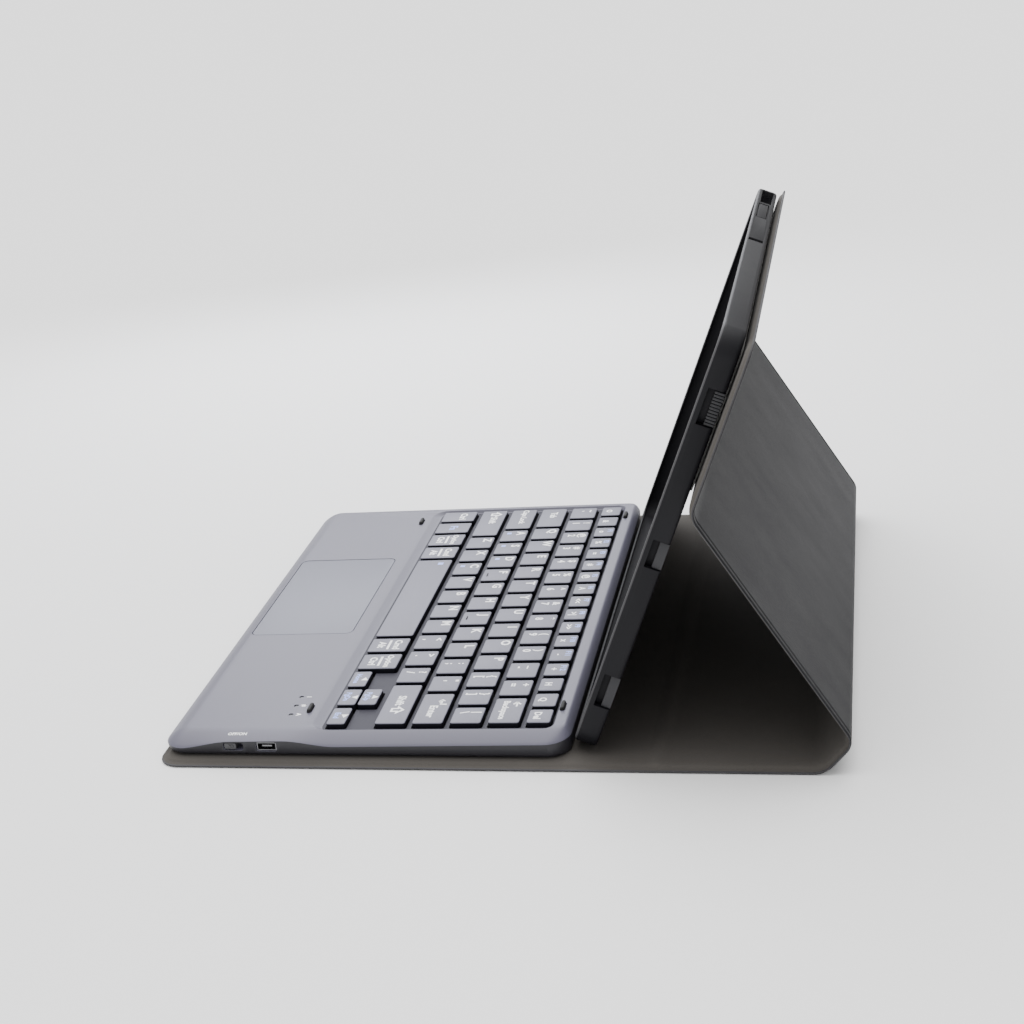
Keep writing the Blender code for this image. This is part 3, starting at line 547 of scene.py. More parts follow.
def shell_piece():
    """The tray, lying on its back with its foot at the origin."""
    half = SHELL_WIDTH / 2
    rings = []
    for inset, height in SHELL_PROFILE:
        radius = max(SHELL_CORNER - inset, 0.001)
        outline = rounded_outline(inset, SHELL_HEIGHT - inset, inset - half, half - inset, (radius,) * 4, 10)
        rings.append([(x, y, height) for x, y in outline])
    shape = bmesh.new()
    loft(shape, rings, shell_material)
    return new_piece("tablet_tray", shape, (SHELL, PALE_EDGE_AND_LIP_HIGHLIGHT))


def camera_hole(depth):
    """The camera's hole, from just above the tray's floor down to a depth behind the tray."""
    x = SHELL_HEIGHT - CAMERA_INSET
    y = SHELL_WIDTH / 2 - CAMERA_INSET
    return centred_block(x, y, CAMERA_HALF, CAMERA_HALF, -depth, 0.004, CAMERA_CORNER, 8)
    return piece


def cut_shell(piece):
    """Side slots, which run out through the back edge, then the openings of the top wall and the back."""
    side = -SHELL_WIDTH / 2
    for centre, length, _ in SIDE_SLOTS:
        low = (centre - length / 2, side - 0.004, -0.002)
        high = (centre + length / 2, side + 0.0026, 0.0065)
        cut_away(piece, block_shape(low, high, 0.0006, 3))
    for centre, length, top in TOP_SLOTS:
        low = (TOP_CUT_START, centre - length / 2, SHELL_FLOOR)
        cut_away(piece, block_shape(low, (TOP_CUT_END, centre + length / 2, top), 0.0004, 2))
    low = (TOP_CUT_START, BUTTON_MIDDLE - WINDOW_HALF_LENGTH, BUTTON_LEVEL - WINDOW_HALF_HEIGHT)
    high = (TOP_CUT_END, BUTTON_MIDDLE + WINDOW_HALF_LENGTH, BUTTON_LEVEL + WINDOW_HALF_HEIGHT)
    cut_away(piece, block_shape(low, high, 0.0008, 3))
    cut_away(piece, camera_hole(0.004))


tray = shell_piece()
cut_shell(tray)
soften(tray, SHELL_SOFTNESS, SHELL_ANGLE)
tray.data.transform(SHELL_FRAME)
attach(tray, "tablet_side")
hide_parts("tablet_shell")


# The edging behind a side slot. Faces are measured inwards from the wall, levels up from the back.
EDGING_OVERLAP = 0.0012
BAR_FACES = (0.0006, 0.0017)
BAR_LEVELS = (0.0015, 0.0077)
STRIP_FACES = (-0.0014, 0.0002)
STRIP_LEVELS = (0.0001, 0.0038)
STRIP_MARGIN = 0.0004
RIB_COUNT = 11
RIB_SHARE = 0.80
FINE_EDGE = 0.0002


def slot_backing(name, centre, length, is_ribbed):
    """The inner edging seen through a cut-out: a dark bar, with a paler strip on it that may be ribbed."""
    inner = SHELL_WIDTH / 2 - SHELL_WALL
    front = centre - length / 2
    back = centre + length / 2
    shape = bmesh.new()
    bar_low = (front - EDGING_OVERLAP, BAR_FACES[0] - inner, BAR_LEVELS[0])
    bar_high = (back + EDGING_OVERLAP, BAR_FACES[1] - inner, BAR_LEVELS[1])
    add_rounded_block(shape, bar_low, bar_high, 0.0003, 2, FINE_EDGE)
    ribs = RIB_COUNT if is_ribbed else 1
    pitch = (length - 2 * STRIP_MARGIN) / ribs
    for index in range(ribs):
        start = front + STRIP_MARGIN + pitch * index
        low = (start, STRIP_FACES[0] - inner, STRIP_LEVELS[0])
        high = (start + pitch * (RIB_SHARE if is_ribbed else 1), STRIP_FACES[1] - inner, STRIP_LEVELS[1])
        add_rounded_block(shape, low, high, FINE_EDGE, 2, FINE_EDGE, 0, second_material)
    return new_piece(name, shape, (SHELL, RIBS), SHELL_FRAME)


for index, (centre, length, is_ribbed) in enumerate(SIDE_SLOTS):
    backing = slot_backing(f"slot_backing_{index}", centre, length, is_ribbed)
    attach(backing, "tablet_side")

button_shape = block_shape(
    (0, -BUTTON_HALF_LENGTH, -BUTTON_HALF_HEIGHT), (SHELL_WALL, BUTTON_HALF_LENGTH, BUTTON_HALF_HEIGHT),
    BUTTON_CORNER, 4,
)
button = new_piece("shell_button_face", button_shape, (SHELL,))
button.data.transform(Matrix.Translation((SHELL_HEIGHT - SHELL_WALL, BUTTON_MIDDLE, BUTTON_LEVEL)))
soften(button, SHELL_SOFTNESS, SHELL_ANGLE)
button.data.transform(SHELL_FRAME)
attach(button, "shell_button")
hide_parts("power_button")

foam_shape = block_shape((0.1127, -0.113, -0.0009), (0.1696, 0.078, -0.0003), 0.004, 5, 0.0001)
pad = new_piece("adhesive_foam_pad", foam_shape, (FOAM,), SHELL_FRAME)
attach(pad, "tablet_side")
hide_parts("adhesive_pad")

cut_away(cover_pieces["upper_panel"], camera_hole(0.02), SHELL_FRAME)
soften(cover_pieces["upper_panel"], 0.00025, COVER_ANGLE)
for name, start, end, free_end, body, prefix in panels:
    piece = cover_pieces[name]
    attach(piece, body)
    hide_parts(prefix + "_leather", prefix + "_lining")

# Keyboard housing -----------------------------------------------------------

CASE_LOW, CASE_HIGH = (Vector(corner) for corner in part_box("keyboard_top_case"))
KEY_UNIT = 0.0157
ROW_PITCH = 0.0154
KEY_SPACE = 0.0027
KEY_DEPTH = 0.0126
KEY_HEIGHT = 0.0026
FUNCTION_DEPTH = 0.0096
BOTTOM_ROW_FRONT = -0.0201
BOTTOM_ROW_DEPTH = 0.0170
ARROW_DEPTH = 0.0079
ARROW_SPLIT = 0.0008
ARROW_UNITS = 1.03
LAST_KEY_EDGE = 14.465
FIELD_WIDTH = LAST_KEY_EDGE * KEY_UNIT - KEY_SPACE
FIELD_REAR = 4 * ROW_PITCH + FUNCTION_DEPTH
KEYS_BEHIND_FRONT = 0.0873
KEYS_TO_RIGHT_SIDE = 0.0101
KEY_TOP_HEIGHT = 0.0120
KEYBOARD_WIDTH = 0.248
DECK_TILT = math.radians(0.9)
KEY_ORIGIN = Vector((CASE_LOW.x + KEYS_BEHIND_FRONT, CASE_LOW.y + KEYS_TO_RIGHT_SIDE, KEY_TOP_HEIGHT))
DECK = Matrix.Translation(KEY_ORIGIN) @ Matrix.Rotation(-DECK_TILT, 4, "Y")
KEYBOARD_CORNER = 0.010
HOUSING_WALL = 0.0018
HOUSING_ANGLE = 40
DECK_MARGIN = 0.006
DECK_REAR_MARGIN = 0.0032
DECK_THICKNESS = 0.0009
DECK_CORNER = 0.0033
PALM_DROP = 0.0006
WELL_DROP = 0.0022
WELL_MARGIN = 0.0022
WELL_REAR_CORNER = 0.004
REAR_SHOULDER_SHARE = 0.3
SLOT_CLEARANCE = 0.0005
SLOT_CORNER = 0.0008
SLOT_DEPTH = 0.006
RIM_FRONT = 0.0054
RIM_REAR = 0.0088
BOSS_FRONT = -0.066
BOSS_REAR = -0.028
BOSS_LEAD = 0.014
BOSS_TAIL = 0.008
BOSS_BLEND = 0.022
BOSS_REACH = 0.012
BOSS_RISE = 0.0028
# Inset from the side and height above the base, round the lower edge.
FOOT_PROFILE = ((0.0012, 0.0), (0.0006, 0.0005), (0.0001, 0.0014))
# Inset from the side and share of the way from the rim up to the palm rest.
SHOULDER_PROFILE = (
    (0.0, 0.0), (0.0003, 0.10), (0.0010, 0.23), (0.0020, 0.40), (0.0032, 0.57),
    (0.0046, 0.74), (0.0062, 0.89), (0.0076, 0.975), (0.0092, 1.0),
)
WALL_LEVELS = len(FOOT_PROFILE)


def smooth_step(value):
    """0 below 0, 1 above 1, and an even S between them."""
    value = min(max(value, 0.0), 1.0)
    return value * value * (3 - 2 * value)


def deck_height(x, drop):
    """Height of a level that lies a drop below the key tops."""
    return KEY_ORIGIN.z - drop + (x - KEY_ORIGIN.x) * math.tan(DECK_TILT)


def boss_share(x, y):
    """1 along the switch and port on the right side, 0 elsewhere, with soft ends."""
    if y > CASE_LOW.y + BOSS_REACH:
        return 0.0
    local = x - KEY_ORIGIN.x
    rise = smooth_step((local - (BOSS_FRONT - BOSS_LEAD)) / BOSS_BLEND)
    fall = 1 - smooth_step((local - (BOSS_REAR - BOSS_TAIL)) / BOSS_BLEND)
    return rise * fall


def rim_height(x, y):
    """Height of the top of the housing's upright side."""
    share = (x - CASE_LOW.x) / (CASE_HIGH.x - CASE_LOW.x)
    return RIM_FRONT + (RIM_REAR - RIM_FRONT) * share + BOSS_RISE * boss_share(x, y)


def shoulder_level(x, y, share):
    """Height at a share of the way from the rim up to the palm rest."""
    rim = rim_height(x, y)
    return rim + (deck_height(x, PALM_DROP) - rim) * share


def housing_ring(inset, height_at):
    """The housing's outline at an inset, with more points along the right side for the boss."""
    rear_inset = inset * REAR_SHOULDER_SHARE
    radius = max(KEYBOARD_CORNER - inset, 0.0025)
    outline = rounded_outline(
        CASE_LOW.x + inset, CASE_HIGH.x - rear_inset, CASE_LOW.y + inset, CASE_HIGH.y - inset,
        (radius,) * 4, 10, 60,
    )
    return [(x, y, height_at(x, y)) for x, y in outline]


def housing_material(level):
    """The upright side is darker than the shoulder and the top, as painted shade."""
    return 1 if level < WALL_LEVELS else 0


def housing_piece():
    """The housing as a solid, before it is hollowed and cut."""
    rings = []
    for inset, rise in FOOT_PROFILE:
        rings.append(housing_ring(inset, lambda x, y, rise=rise: CASE_LOW.z + rise))
    for inset, share in SHOULDER_PROFILE:
        rings.append(housing_ring(inset, lambda x, y, share=share: shoulder_level(x, y, share)))
    shape = bmesh.new()
    loft(shape, rings, housing_material)
    return new_piece("keyboard_housing", shape, (CASE, CASE_WALL_SHADE, WELL_SHADE), angle=HOUSING_ANGLE)


def hollow_housing(piece):
    """Hollows it from below up to the rim and, further in, up to the underside of the key well."""
    wall = HOUSING_WALL
    low = (CASE_LOW.x + wall, CASE_LOW.y + wall, 0)
    high = (CASE_HIGH.x - wall, CASE_HIGH.y - wall, RIM_FRONT - wall / 2)
    cut_away(piece, block_shape(low, high, KEYBOARD_CORNER - wall, 6))
    front = CASE_LOW.x + DECK_MARGIN - KEY_ORIGIN.x
    rear = CASE_HIGH.x - DECK_REAR_MARGIN - KEY_ORIGIN.x
    near = CASE_LOW.y + DECK_MARGIN - KEY_ORIGIN.y
    far = CASE_HIGH.y - DECK_MARGIN - KEY_ORIGIN.y
    low = (front, near, -KEY_ORIGIN.z)
    cut_away(piece, block_shape(low, (rear, far, -WELL_DROP - DECK_THICKNESS), DECK_CORNER, 4), DECK)


def cut_key_well(piece):
    """Sinks the field that the keys stand in, with its front sloping up to the palm rest."""
    # Margins in front, behind, right and left of the keys, the corner's radius, and the height.
    levels = (
        (0.0012, 0.0010, 0.0020, 0.0022, 0.0035, -WELL_DROP),
        (0.0020, 0.0011, 0.0024, 0.0025, 0.0042, -WELL_DROP + 0.0001),
        (0.0034, 0.0013, 0.0029, 0.0030, 0.0055, -WELL_DROP + 0.0005),
        (0.0056, 0.0015, 0.0034, 0.0035, 0.0070, -PALM_DROP - 0.0003),
        (0.0066, 0.0017, 0.0038, 0.0039, 0.0080, -PALM_DROP + 0.00005),
        (0.0068, 0.0019, 0.0040, 0.0041, 0.0082, 0.004),
    )
    rings = []
    for front, back, near, far, radius, height in levels:
        rear_radius = min(radius, WELL_REAR_CORNER)
        outline = rounded_outline(
            BOTTOM_ROW_FRONT - front, FIELD_REAR + back, -near, FIELD_WIDTH + far,
            (rear_radius, radius, radius, rear_radius), 8,
        )
        rings.append([(x, y, height) for x, y in outline])
    shape = bmesh.new()
    loft(shape, rings)
    cut_away(piece, shape, DECK)


def cut_key_slots(piece):
    """A slot under each row of keys, and two under the arrows."""
    gap = SLOT_CLEARANCE
    arrow_pitch = ARROW_UNITS * KEY_UNIT
    arrows_end = 3 * arrow_pitch
    slots = [(row * ROW_PITCH, row * ROW_PITCH + KEY_DEPTH, 0, FIELD_WIDTH) for row in range(4)]
    slots.append((4 * ROW_PITCH, FIELD_REAR, 0, FIELD_WIDTH))
    slots.append((BOTTOM_ROW_FRONT, BOTTOM_ROW_FRONT + BOTTOM_ROW_DEPTH, arrows_end, FIELD_WIDTH))
    slots.append((BOTTOM_ROW_FRONT, BOTTOM_ROW_FRONT + ARROW_DEPTH, 0, arrows_end))
    slots.append((
        BOTTOM_ROW_FRONT + ARROW_DEPTH / 2, BOTTOM_ROW_FRONT + 2 * ARROW_DEPTH + ARROW_SPLIT,
        arrow_pitch, 2 * arrow_pitch - KEY_SPACE,
    ))
    for front, back, near, far in slots:
        low = (front - gap, near - gap, -SLOT_DEPTH)
        cut_away(piece, block_shape(low, (back + gap, far + gap, 0), SLOT_CORNER, 3), DECK)


PAD_LOW = Vector((-0.0795, 0.0847, 0))
PAD_HIGH = Vector((-0.0325, 0.1677, 0))
PAD_FIT = 0.0003
BUMPERS = {
    "bumper_front_right": (-0.0304, -1), "bumper_front_left": (-0.0304, 1),
    "bumper_rear_right": (0.0742, -1), "bumper_rear_left": (0.0742, 1),
}
BUMPER_MIDDLE = KEYBOARD_WIDTH / 2 - KEYS_TO_RIGHT_SIDE
BUMPER_SPREAD = 0.100
BUMPER_HALF_X = 0.00085
BUMPER_HALF_Y = 0.00325
BUMPER_FIT = 0.0003
LED_X = -0.0374
LED_Y = (0.0092, 0.0168, 0.0244)
LED_HALF = 0.0010
CUT_TOP = 0.002
# Start, end, half height and depth of the switch's and the port's windows in the right side.
SIDE_WINDOWS = ((-0.0605, -0.0521, 0.0017, 0.0048), (-0.0467, -0.0381, 0.0020, 0.0080))
SIDE_WINDOW_LEVEL = 0.0066


def cut_fittings(piece):
    """Openings for the touchpad, the bumpers, the lights, the switch and the port."""
    low = (PAD_LOW.x - PAD_FIT, PAD_LOW.y - PAD_FIT, -0.008)
    high = (PAD_HIGH.x + PAD_FIT, PAD_HIGH.y + PAD_FIT, CUT_TOP)
    cut_away(piece, block_shape(low, high, 0.0033, 6), DECK)
    half_x = BUMPER_HALF_X + BUMPER_FIT
    half_y = BUMPER_HALF_Y + BUMPER_FIT
    for x, side in BUMPERS.values():
        y = BUMPER_MIDDLE + side * BUMPER_SPREAD
        cut_away(piece, centred_block(x, y, half_x, half_y, -PALM_DROP - 0.0011, CUT_TOP, 0.00105, 5), DECK)
    for y in LED_Y:
        cut_away(piece, centred_block(LED_X, y, LED_HALF, LED_HALF, -0.0048, CUT_TOP, 0.0009, 5), DECK)
    # The windows are blocks laid on their side, with their height pointing into the housing.
    sideways = Matrix((
        (1, 0, 0, KEY_ORIGIN.x), (0, 0, 1, CASE_LOW.y), (0, 1, 0, SIDE_WINDOW_LEVEL), (0, 0, 0, 1),
    ))
    for start, end, half, depth in SIDE_WINDOWS:
        cut_away(piece, block_shape((start, -half, -0.008), (end, half, depth), 0.0009, 4), sideways)


def paint_well_shade(piece):
    """The well's floor and the slots in it get a darker colour, as painted shade from the keys, and a duller
    finish.
    """
    to_deck = DECK.inverted()
    for face in piece.data.polygons:
        place = to_deck @ face.center
        is_low = place.z < 0.0001 - WELL_DROP
        is_along = BOTTOM_ROW_FRONT - WELL_MARGIN < place.x < FIELD_REAR + WELL_MARGIN
        if is_low and is_along and -WELL_MARGIN < place.y < FIELD_WIDTH + WELL_MARGIN:
            face.material_index = 2


housing = housing_piece()
hollow_housing(housing)
cut_key_well(housing)
cut_key_slots(housing)
cut_fittings(housing)
resmooth(housing, 32)
paint_well_shade(housing)
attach(housing, "keyboard")
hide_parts("keyboard_top_case")

# Touchpad, bumpers, switch --------------------------------------------------

pad_face = block_shape(
    (PAD_LOW.x, PAD_LOW.y, -PALM_DROP - 0.0012), (PAD_HIGH.x, PAD_HIGH.y, -PALM_DROP - 0.00002),
    0.003, 8, 0.0003,
)
touchpad = new_piece("touchpad_face", pad_face, (PAD,), DECK)
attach(touchpad, "touchpad")
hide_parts("touchpad")

for node_name, (x, side) in BUMPERS.items():
    y = BUMPER_MIDDLE + side * BUMPER_SPREAD
    dome = centred_block(
        x, y, BUMPER_HALF_X, BUMPER_HALF_Y, -PALM_DROP - 0.0008, 0.0014 - PALM_DROP, 0.00084, 6, 0.0006,
    )
    bumper = new_piece(node_name + "_dome", dome, (RUBBER,), DECK)
    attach(bumper, "keyboard")
    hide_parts(node_name)

SWITCH_LOW, SWITCH_HIGH = (Vector(corner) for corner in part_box("power_switch"))
UPRIGHT = Matrix((
    (1, 0, 0, KEY_ORIGIN.x), (0, 0, -1, CASE_LOW.y), (0, 1, 0, SIDE_WINDOW_LEVEL), (0, 0, 0, 1),
))
CHEVRONS = (-0.0578, -0.0566)
BAR_OFFSET = 0.00042
BAR_TURN = 0.7
BAR_SIZE = Matrix.Diagonal((0.00125, 0.00026, 0.00035, 1))
switch_shape = block_shape(
    (SWITCH_LOW.x - KEY_ORIGIN.x, -0.0014, -SWITCH_HIGH.y + CASE_LOW.y),
    (SWITCH_HIGH.x - KEY_ORIGIN.x, 0.0014, -0.0003), 0.0006, 4, 0.0003,
)
for x in CHEVRONS:
    for side in (1, -1):
        bar = bmesh.ops.create_cube(switch_shape, size=1.0)["verts"]
        turned = Matrix.Rotation(-side * BAR_TURN, 4, "Z") @ BAR_SIZE
        place = Matrix.Translation((x, side * BAR_OFFSET, -0.00020))
        bmesh.ops.transform(switch_shape, matrix=place @ turned, verts=bar)
slider = new_piece("switch_slider", switch_shape, (SWITCH,), UPRIGHT)
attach(slider, "power_switch")
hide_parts("power_switch")

# Keys -----------------------------------------------------------------------

KEY_CORNER = 0.0011
KEY_EDGE = 0.00035
KEY_DRAFT = 0.0001
BAR_HALF_DEPTH = 0.002
BAR_HALF_HEIGHT = 0.0003


def key_material(level):
    """The lowest level, which is the key's side, is dark."""
    return 1 if level < 1 else 0


def add_key(shape, front, near, depth, width):
    add_rounded_block(
        shape, (front, near, -KEY_HEIGHT), (front + depth, near + width, 0),
        KEY_CORNER, 4, KEY_EDGE, KEY_DRAFT, key_material,
    )


def key_piece(node_name, keys):
    """One piece for a CAD node's keys: each is (front, near, depth, width)."""
    shape = bmesh.new()
    for key in keys:
        add_key(shape, *key)
    if len(keys) > 1:
        front, near, depth, _ = keys[0]
        _, far, _, width = keys[-1]
        middle = front + depth / 2
        low = (middle - BAR_HALF_DEPTH, near + KEY_SPACE, -KEY_HEIGHT - BAR_HALF_HEIGHT)
        high = (middle + BAR_HALF_DEPTH, far + width - KEY_SPACE, -KEY_HEIGHT + BAR_HALF_HEIGHT)
        add_rounded_block(shape, low, high, 0.0002, 2, 0, 0, second_material)
    piece = new_piece(node_name + "_piece", shape, (KEY_TOP, KEY_SIDE), DECK, 45)
    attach(piece, node_name)
    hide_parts(node_name)


LETTERINGS = {}


def letter(body, text, x, y, size, blue=False):
    """Asks for text centred at (x, y) in the deck's plane, to be read by the typist."""
    LETTERINGS.setdefault((body, blue), []).append((text, x, y, size))


def unit_span(start, units):
    """Near edge and width of a key that starts and measures so many key units."""
    return start * KEY_UNIT, units * KEY_UNIT - KEY_SPACE


def two_signs(body, front, far_edge, main, shifted):
    """The key's own sign in front and its shifted one behind, both towards the left."""
    y = far_edge - 0.0042
    letter(body, main, front + 0.0044, y, 0.0036)
    letter(body, shifted, front + 0.0096, y, 0.0034)


def lay_out_row(body, row, near_key, start, signs, far_key, units=1.0):
    """A row of single keys between two wide ones, either of which may be missing.

    Signs run from the typist's right to left.
    """
    front = row * ROW_PITCH
    keys = []
    for index, sign in enumerate(signs):
        near = start * KEY_UNIT + index * units * KEY_UNIT
        width = units * KEY_UNIT - KEY_SPACE
        keys.append((front, near, KEY_DEPTH, width))
        if len(sign) == 1:
            letter(body, sign, front + 0.0092, near + width - 0.0038, 0.0042)
        else:
            two_signs(body, front, near + width, sign[0], sign[1])
    key_piece(body, keys)
    if near_key:
        near, width = unit_span(0, start)
        key_piece(near_key, [(front, near, KEY_DEPTH, width)])
    if far_key:
        used = start + len(signs) * units
        near, width = unit_span(used, LAST_KEY_EDGE - used)
        key_piece(far_key, [(front, near, KEY_DEPTH, width)])


BACKSPACE_UNITS = 1.465
ENTER_UNITS = 1.749
RIGHT_SHIFT_UNITS = 2.264
TOP_ROW_UNITS = 0.988
lay_out_row(
    "number_keys", 3, "backspace_key", BACKSPACE_UNITS,
    ["=+", "-_", "0)", "9(", "8*", "7&", "6^", "5%", "4$", "3#", "2@", "1!", "`~"], None,
)
lay_out_row(
    "top_letter_keys", 2, None, 0.0,
    ["\\|", "]}", "[{", "P", "O", "I", "U", "Y", "T", "R", "E", "W", "Q"], "tab_key", TOP_ROW_UNITS,
)
lay_out_row(
    "home_letter_keys", 1, "enter_key", ENTER_UNITS,
    ["'\"", ";:", "L", "K", "J", "H", "G", "F", "D", "S", "A"], "caps_lock_key",
)
lay_out_row(
    "bottom_letter_keys", 0, "right_shift_key", RIGHT_SHIFT_UNITS,
    ["/?", ".>", ",<", "M", "N", "B", "V", "C", "X", "Z"], "left_shift_key",
)
# Node, text, row, distance behind the row's front, place across, and size.
WIDE_KEY_PRINTS = (
    ("backspace_key", "Backspace", 3, 0.0048, 0.0104, 0.0027),
    ("backspace_key", "←", 3, 0.0092, 0.0150, 0.0036),
    ("enter_key", "Enter", 1, 0.0060, 0.0098, 0.0033),
    ("enter_key", "↵", 1, 0.0085, 0.0176, 0.0040),
    ("right_shift_key", "Shift", 0, 0.0064, 0.0192, 0.0034),
    ("right_shift_key", "⇧", 0, 0.0064, 0.0112, 0.0050),
    ("tab_key", "Tab", 2, 0.0066, FIELD_WIDTH - 0.0080, 0.0034),
    ("caps_lock_key", "Caps Lock", 1, 0.0070, FIELD_WIDTH - 0.0092, 0.0030),
    ("left_shift_key", "Shift", 0, 0.0070, FIELD_WIDTH - 0.0125, 0.0034),
    ("left_shift_key", "⇧", 0, 0.0070, FIELD_WIDTH - 0.0050, 0.0050),
)
for node_name, text, row, forward, across, size in WIDE_KEY_PRINTS:
    letter(node_name, text, row * ROW_PITCH + forward, across, size)

# Function row: white icons with small blue labels.
FUNCTION_UNITS = 0.8515
FUNCTION_FRONT = 4 * ROW_PITCH
# Icon and label, from the typist's right to left.
FUNCTION_SIGNS = (
    ("Del", ""), ("Q", ""), ("H", ""), ("+", "F12"), ("-", "F11"), ("x", "F10"), (">>", "F9"),
    (">|", "F8"), ("<<", "F7"), ("A", "F6"), ("@", "F5"), ("#", "F4"), ("=", "F3"), ("%", "F2"),
    ("o", "F1"), ("&", ""), ("O", ""),
)
function_keys = []
for index, (icon, label) in enumerate(FUNCTION_SIGNS):
    near, width = unit_span(index * FUNCTION_UNITS, FUNCTION_UNITS)
    function_keys.append((FUNCTION_FRONT, near, FUNCTION_DEPTH, width))
    letter("function_keys", icon, FUNCTION_FRONT + 0.0036, near + width * 0.52, 0.0030)
    if label:
        letter("function_keys", label, FUNCTION_FRONT + 0.0074, near + width * 0.60, 0.0024, True)
key_piece("function_keys", function_keys)

# Arrows: node, front edge, start in arrow keys, label and sign.
UP_ARROW_FRONT = BOTTOM_ROW_FRONT + ARROW_DEPTH + ARROW_SPLIT
ARROWS = (
    ("right_arrow_key", BOTTOM_ROW_FRONT, 0, "End", "▶"),
    ("down_arrow_key", BOTTOM_ROW_FRONT, 1, "PgDn", "▼"),
    ("left_arrow_key", BOTTOM_ROW_FRONT, 2, "Home", "◀"),
    ("up_arrow_key", UP_ARROW_FRONT, 1, "PgUp", "▲"),
)
for node_name, front, place, label, arrow in ARROWS:
    near, width = unit_span(place * ARROW_UNITS, ARROW_UNITS)
    key_piece(node_name, [(front, near, ARROW_DEPTH, width)])
    letter(node_name, label, front + 0.0028, near + width * 0.52, 0.0024, True)
    letter(node_name, arrow, front + 0.0060, near + width * 0.48, 0.0022)

# The rest of the bottom row, by where each key starts in key units.
SPACE_BAR_END = 10.56
starts = (
    ("right_option_key", 3 * ARROW_UNITS), ("right_command_key", 4.12), ("space_bar", 5.10),
    ("left_command_key", SPACE_BAR_END), ("left_option_key", 11.57), ("fn_key", 12.57),
    ("control_key", 13.52),
)
# What the keys whose names end so are printed with: text, distance behind the front, size, and if blue.
BOTTOM_ROW_PRINTS = {
    "command_key": (
        ("Cmd", 0.0122, 0.0033, False), ("—", 0.0090, 0.0058, False), ("Alt", 0.0052, 0.0033, False),
    ),
    "option_key": (
        ("Option", 0.0122, 0.0028, False), ("—", 0.0090, 0.0058, False), ("Ctrl", 0.0052, 0.0033, False),
    ),
    "fn_key": (("Fn", 0.0085, 0.0040, True),),
    "control_key": (("Ctrl", 0.0105, 0.0036, False),),
}
ends = [start for _, start in starts[1:]] + [LAST_KEY_EDGE]
for (node_name, start), stop in zip(starts, ends):
    near, width = unit_span(start, stop - start)
    key_piece(node_name, [(BOTTOM_ROW_FRONT, near, BOTTOM_ROW_DEPTH, width)])
    for ending, prints in BOTTOM_ROW_PRINTS.items():
        if node_name.endswith(ending):
            for text, forward, size, is_blue in prints:
                letter(node_name, text, BOTTOM_ROW_FRONT + forward, near + width / 2, size, is_blue)

# Small blue marks at the front left of four letter keys and on the space bar.
MARKED_KEYS = (
    ("home_letter_keys", 1, ENTER_UNITS + 8), ("home_letter_keys", 1, ENTER_UNITS + 9),
    ("home_letter_keys", 1, ENTER_UNITS + 10), ("bottom_letter_keys", 0, RIGHT_SHIFT_UNITS + 7),
)
for body, row, start in MARKED_KEYS:
    mark_y = (start + 1) * KEY_UNIT - KEY_SPACE - 0.0036
    letter(body, "■", row * ROW_PITCH + 0.0034, mark_y, 0.0020, True)
space_bar_edge = SPACE_BAR_END * KEY_UNIT - KEY_SPACE
letter("space_bar", "■", BOTTOM_ROW_FRONT + 0.0118, space_bar_edge - 0.0045, 0.0024, True)

# Lettering ------------------------------------------------------------------

TEXTS = {}
READ_FROM_FRONT = Matrix.Rotation(math.radians(-90), 4, "Z")
PRINT_HEIGHT = 0.00002
PRINT_SCALE = 1.36
PRINT_WEIGHT = 0.034


def text_mesh(text, size):
    """Flat lettering centred at the origin, a little bolder than the font."""
    curve = bpy.data.curves.new("lettering", "FONT")
    curve.body = text
    curve.size = size
    curve.align_x = "CENTER"
    curve.align_y = "CENTER"
    curve.resolution_u = 2
    curve.offset = size * PRINT_WEIGHT
    holder = bpy.data.objects.new("lettering", curve)
    SCENE.collection.objects.link(holder)
    bpy.context.view_layer.update()
    graph = bpy.context.evaluated_depsgraph_get()
    mesh = bpy.data.meshes.new_from_object(holder.evaluated_get(graph))
    bpy.data.objects.remove(holder)
    bpy.data.curves.remove(curve)
    return mesh


def print_lettering(name, body, blue, items, drop=0.0):
    """One piece for the lettering of a body, at a drop below the key tops."""
    shape = bmesh.new()
    for text, x, y, size in items:
        key = (text, size)
        if key not in TEXTS:
            TEXTS[key] = text_mesh(text, size)
        mesh = TEXTS[key].copy()
        place = Matrix.Translation((x, y, PRINT_HEIGHT - drop))
        mesh.transform(place @ READ_FROM_FRONT @ Matrix.Diagonal((PRINT_SCALE, PRINT_SCALE, 1, 1)))
        shape.from_mesh(mesh)
        bpy.data.meshes.remove(mesh)
    for face in shape.faces:
        face.normal_update()
        if face.normal.z < 0:
            face.normal_flip()
    mesh = bpy.data.meshes.new(name)
    shape.to_mesh(mesh)
    shape.free()
    mesh.materials.append(LEGEND_BLUE if blue else LEGEND)
    mesh.transform(DECK)
    piece = bpy.data.objects.new(name, mesh)
    SCENE.collection.objects.link(piece)
    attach(piece, body)


for (body, blue), items in LETTERINGS.items():
    print_lettering(f"print_{body}{'_blue' if blue else ''}", body, blue, items)
led_marks = [(sign, LED_X + 0.0032, y, 0.0021) for sign, y in zip("A#1", LED_Y)]
print_lettering("print_lights", "keyboard", False, led_marks, PALM_DROP)


def shoulder_height(x, y):
    """Height of the housing's top near its right side, read from the same profile as its rings."""
    inset = y - CASE_LOW.y
    for (inner, share), (outer, next_share) in zip(SHOULDER_PROFILE, SHOULDER_PROFILE[1:]):
        if inset <= outer:
            return shoulder_level(x, y, share + (next_share - share) * (inset - inner) / (outer - inner))
    return deck_height(x, PALM_DROP)


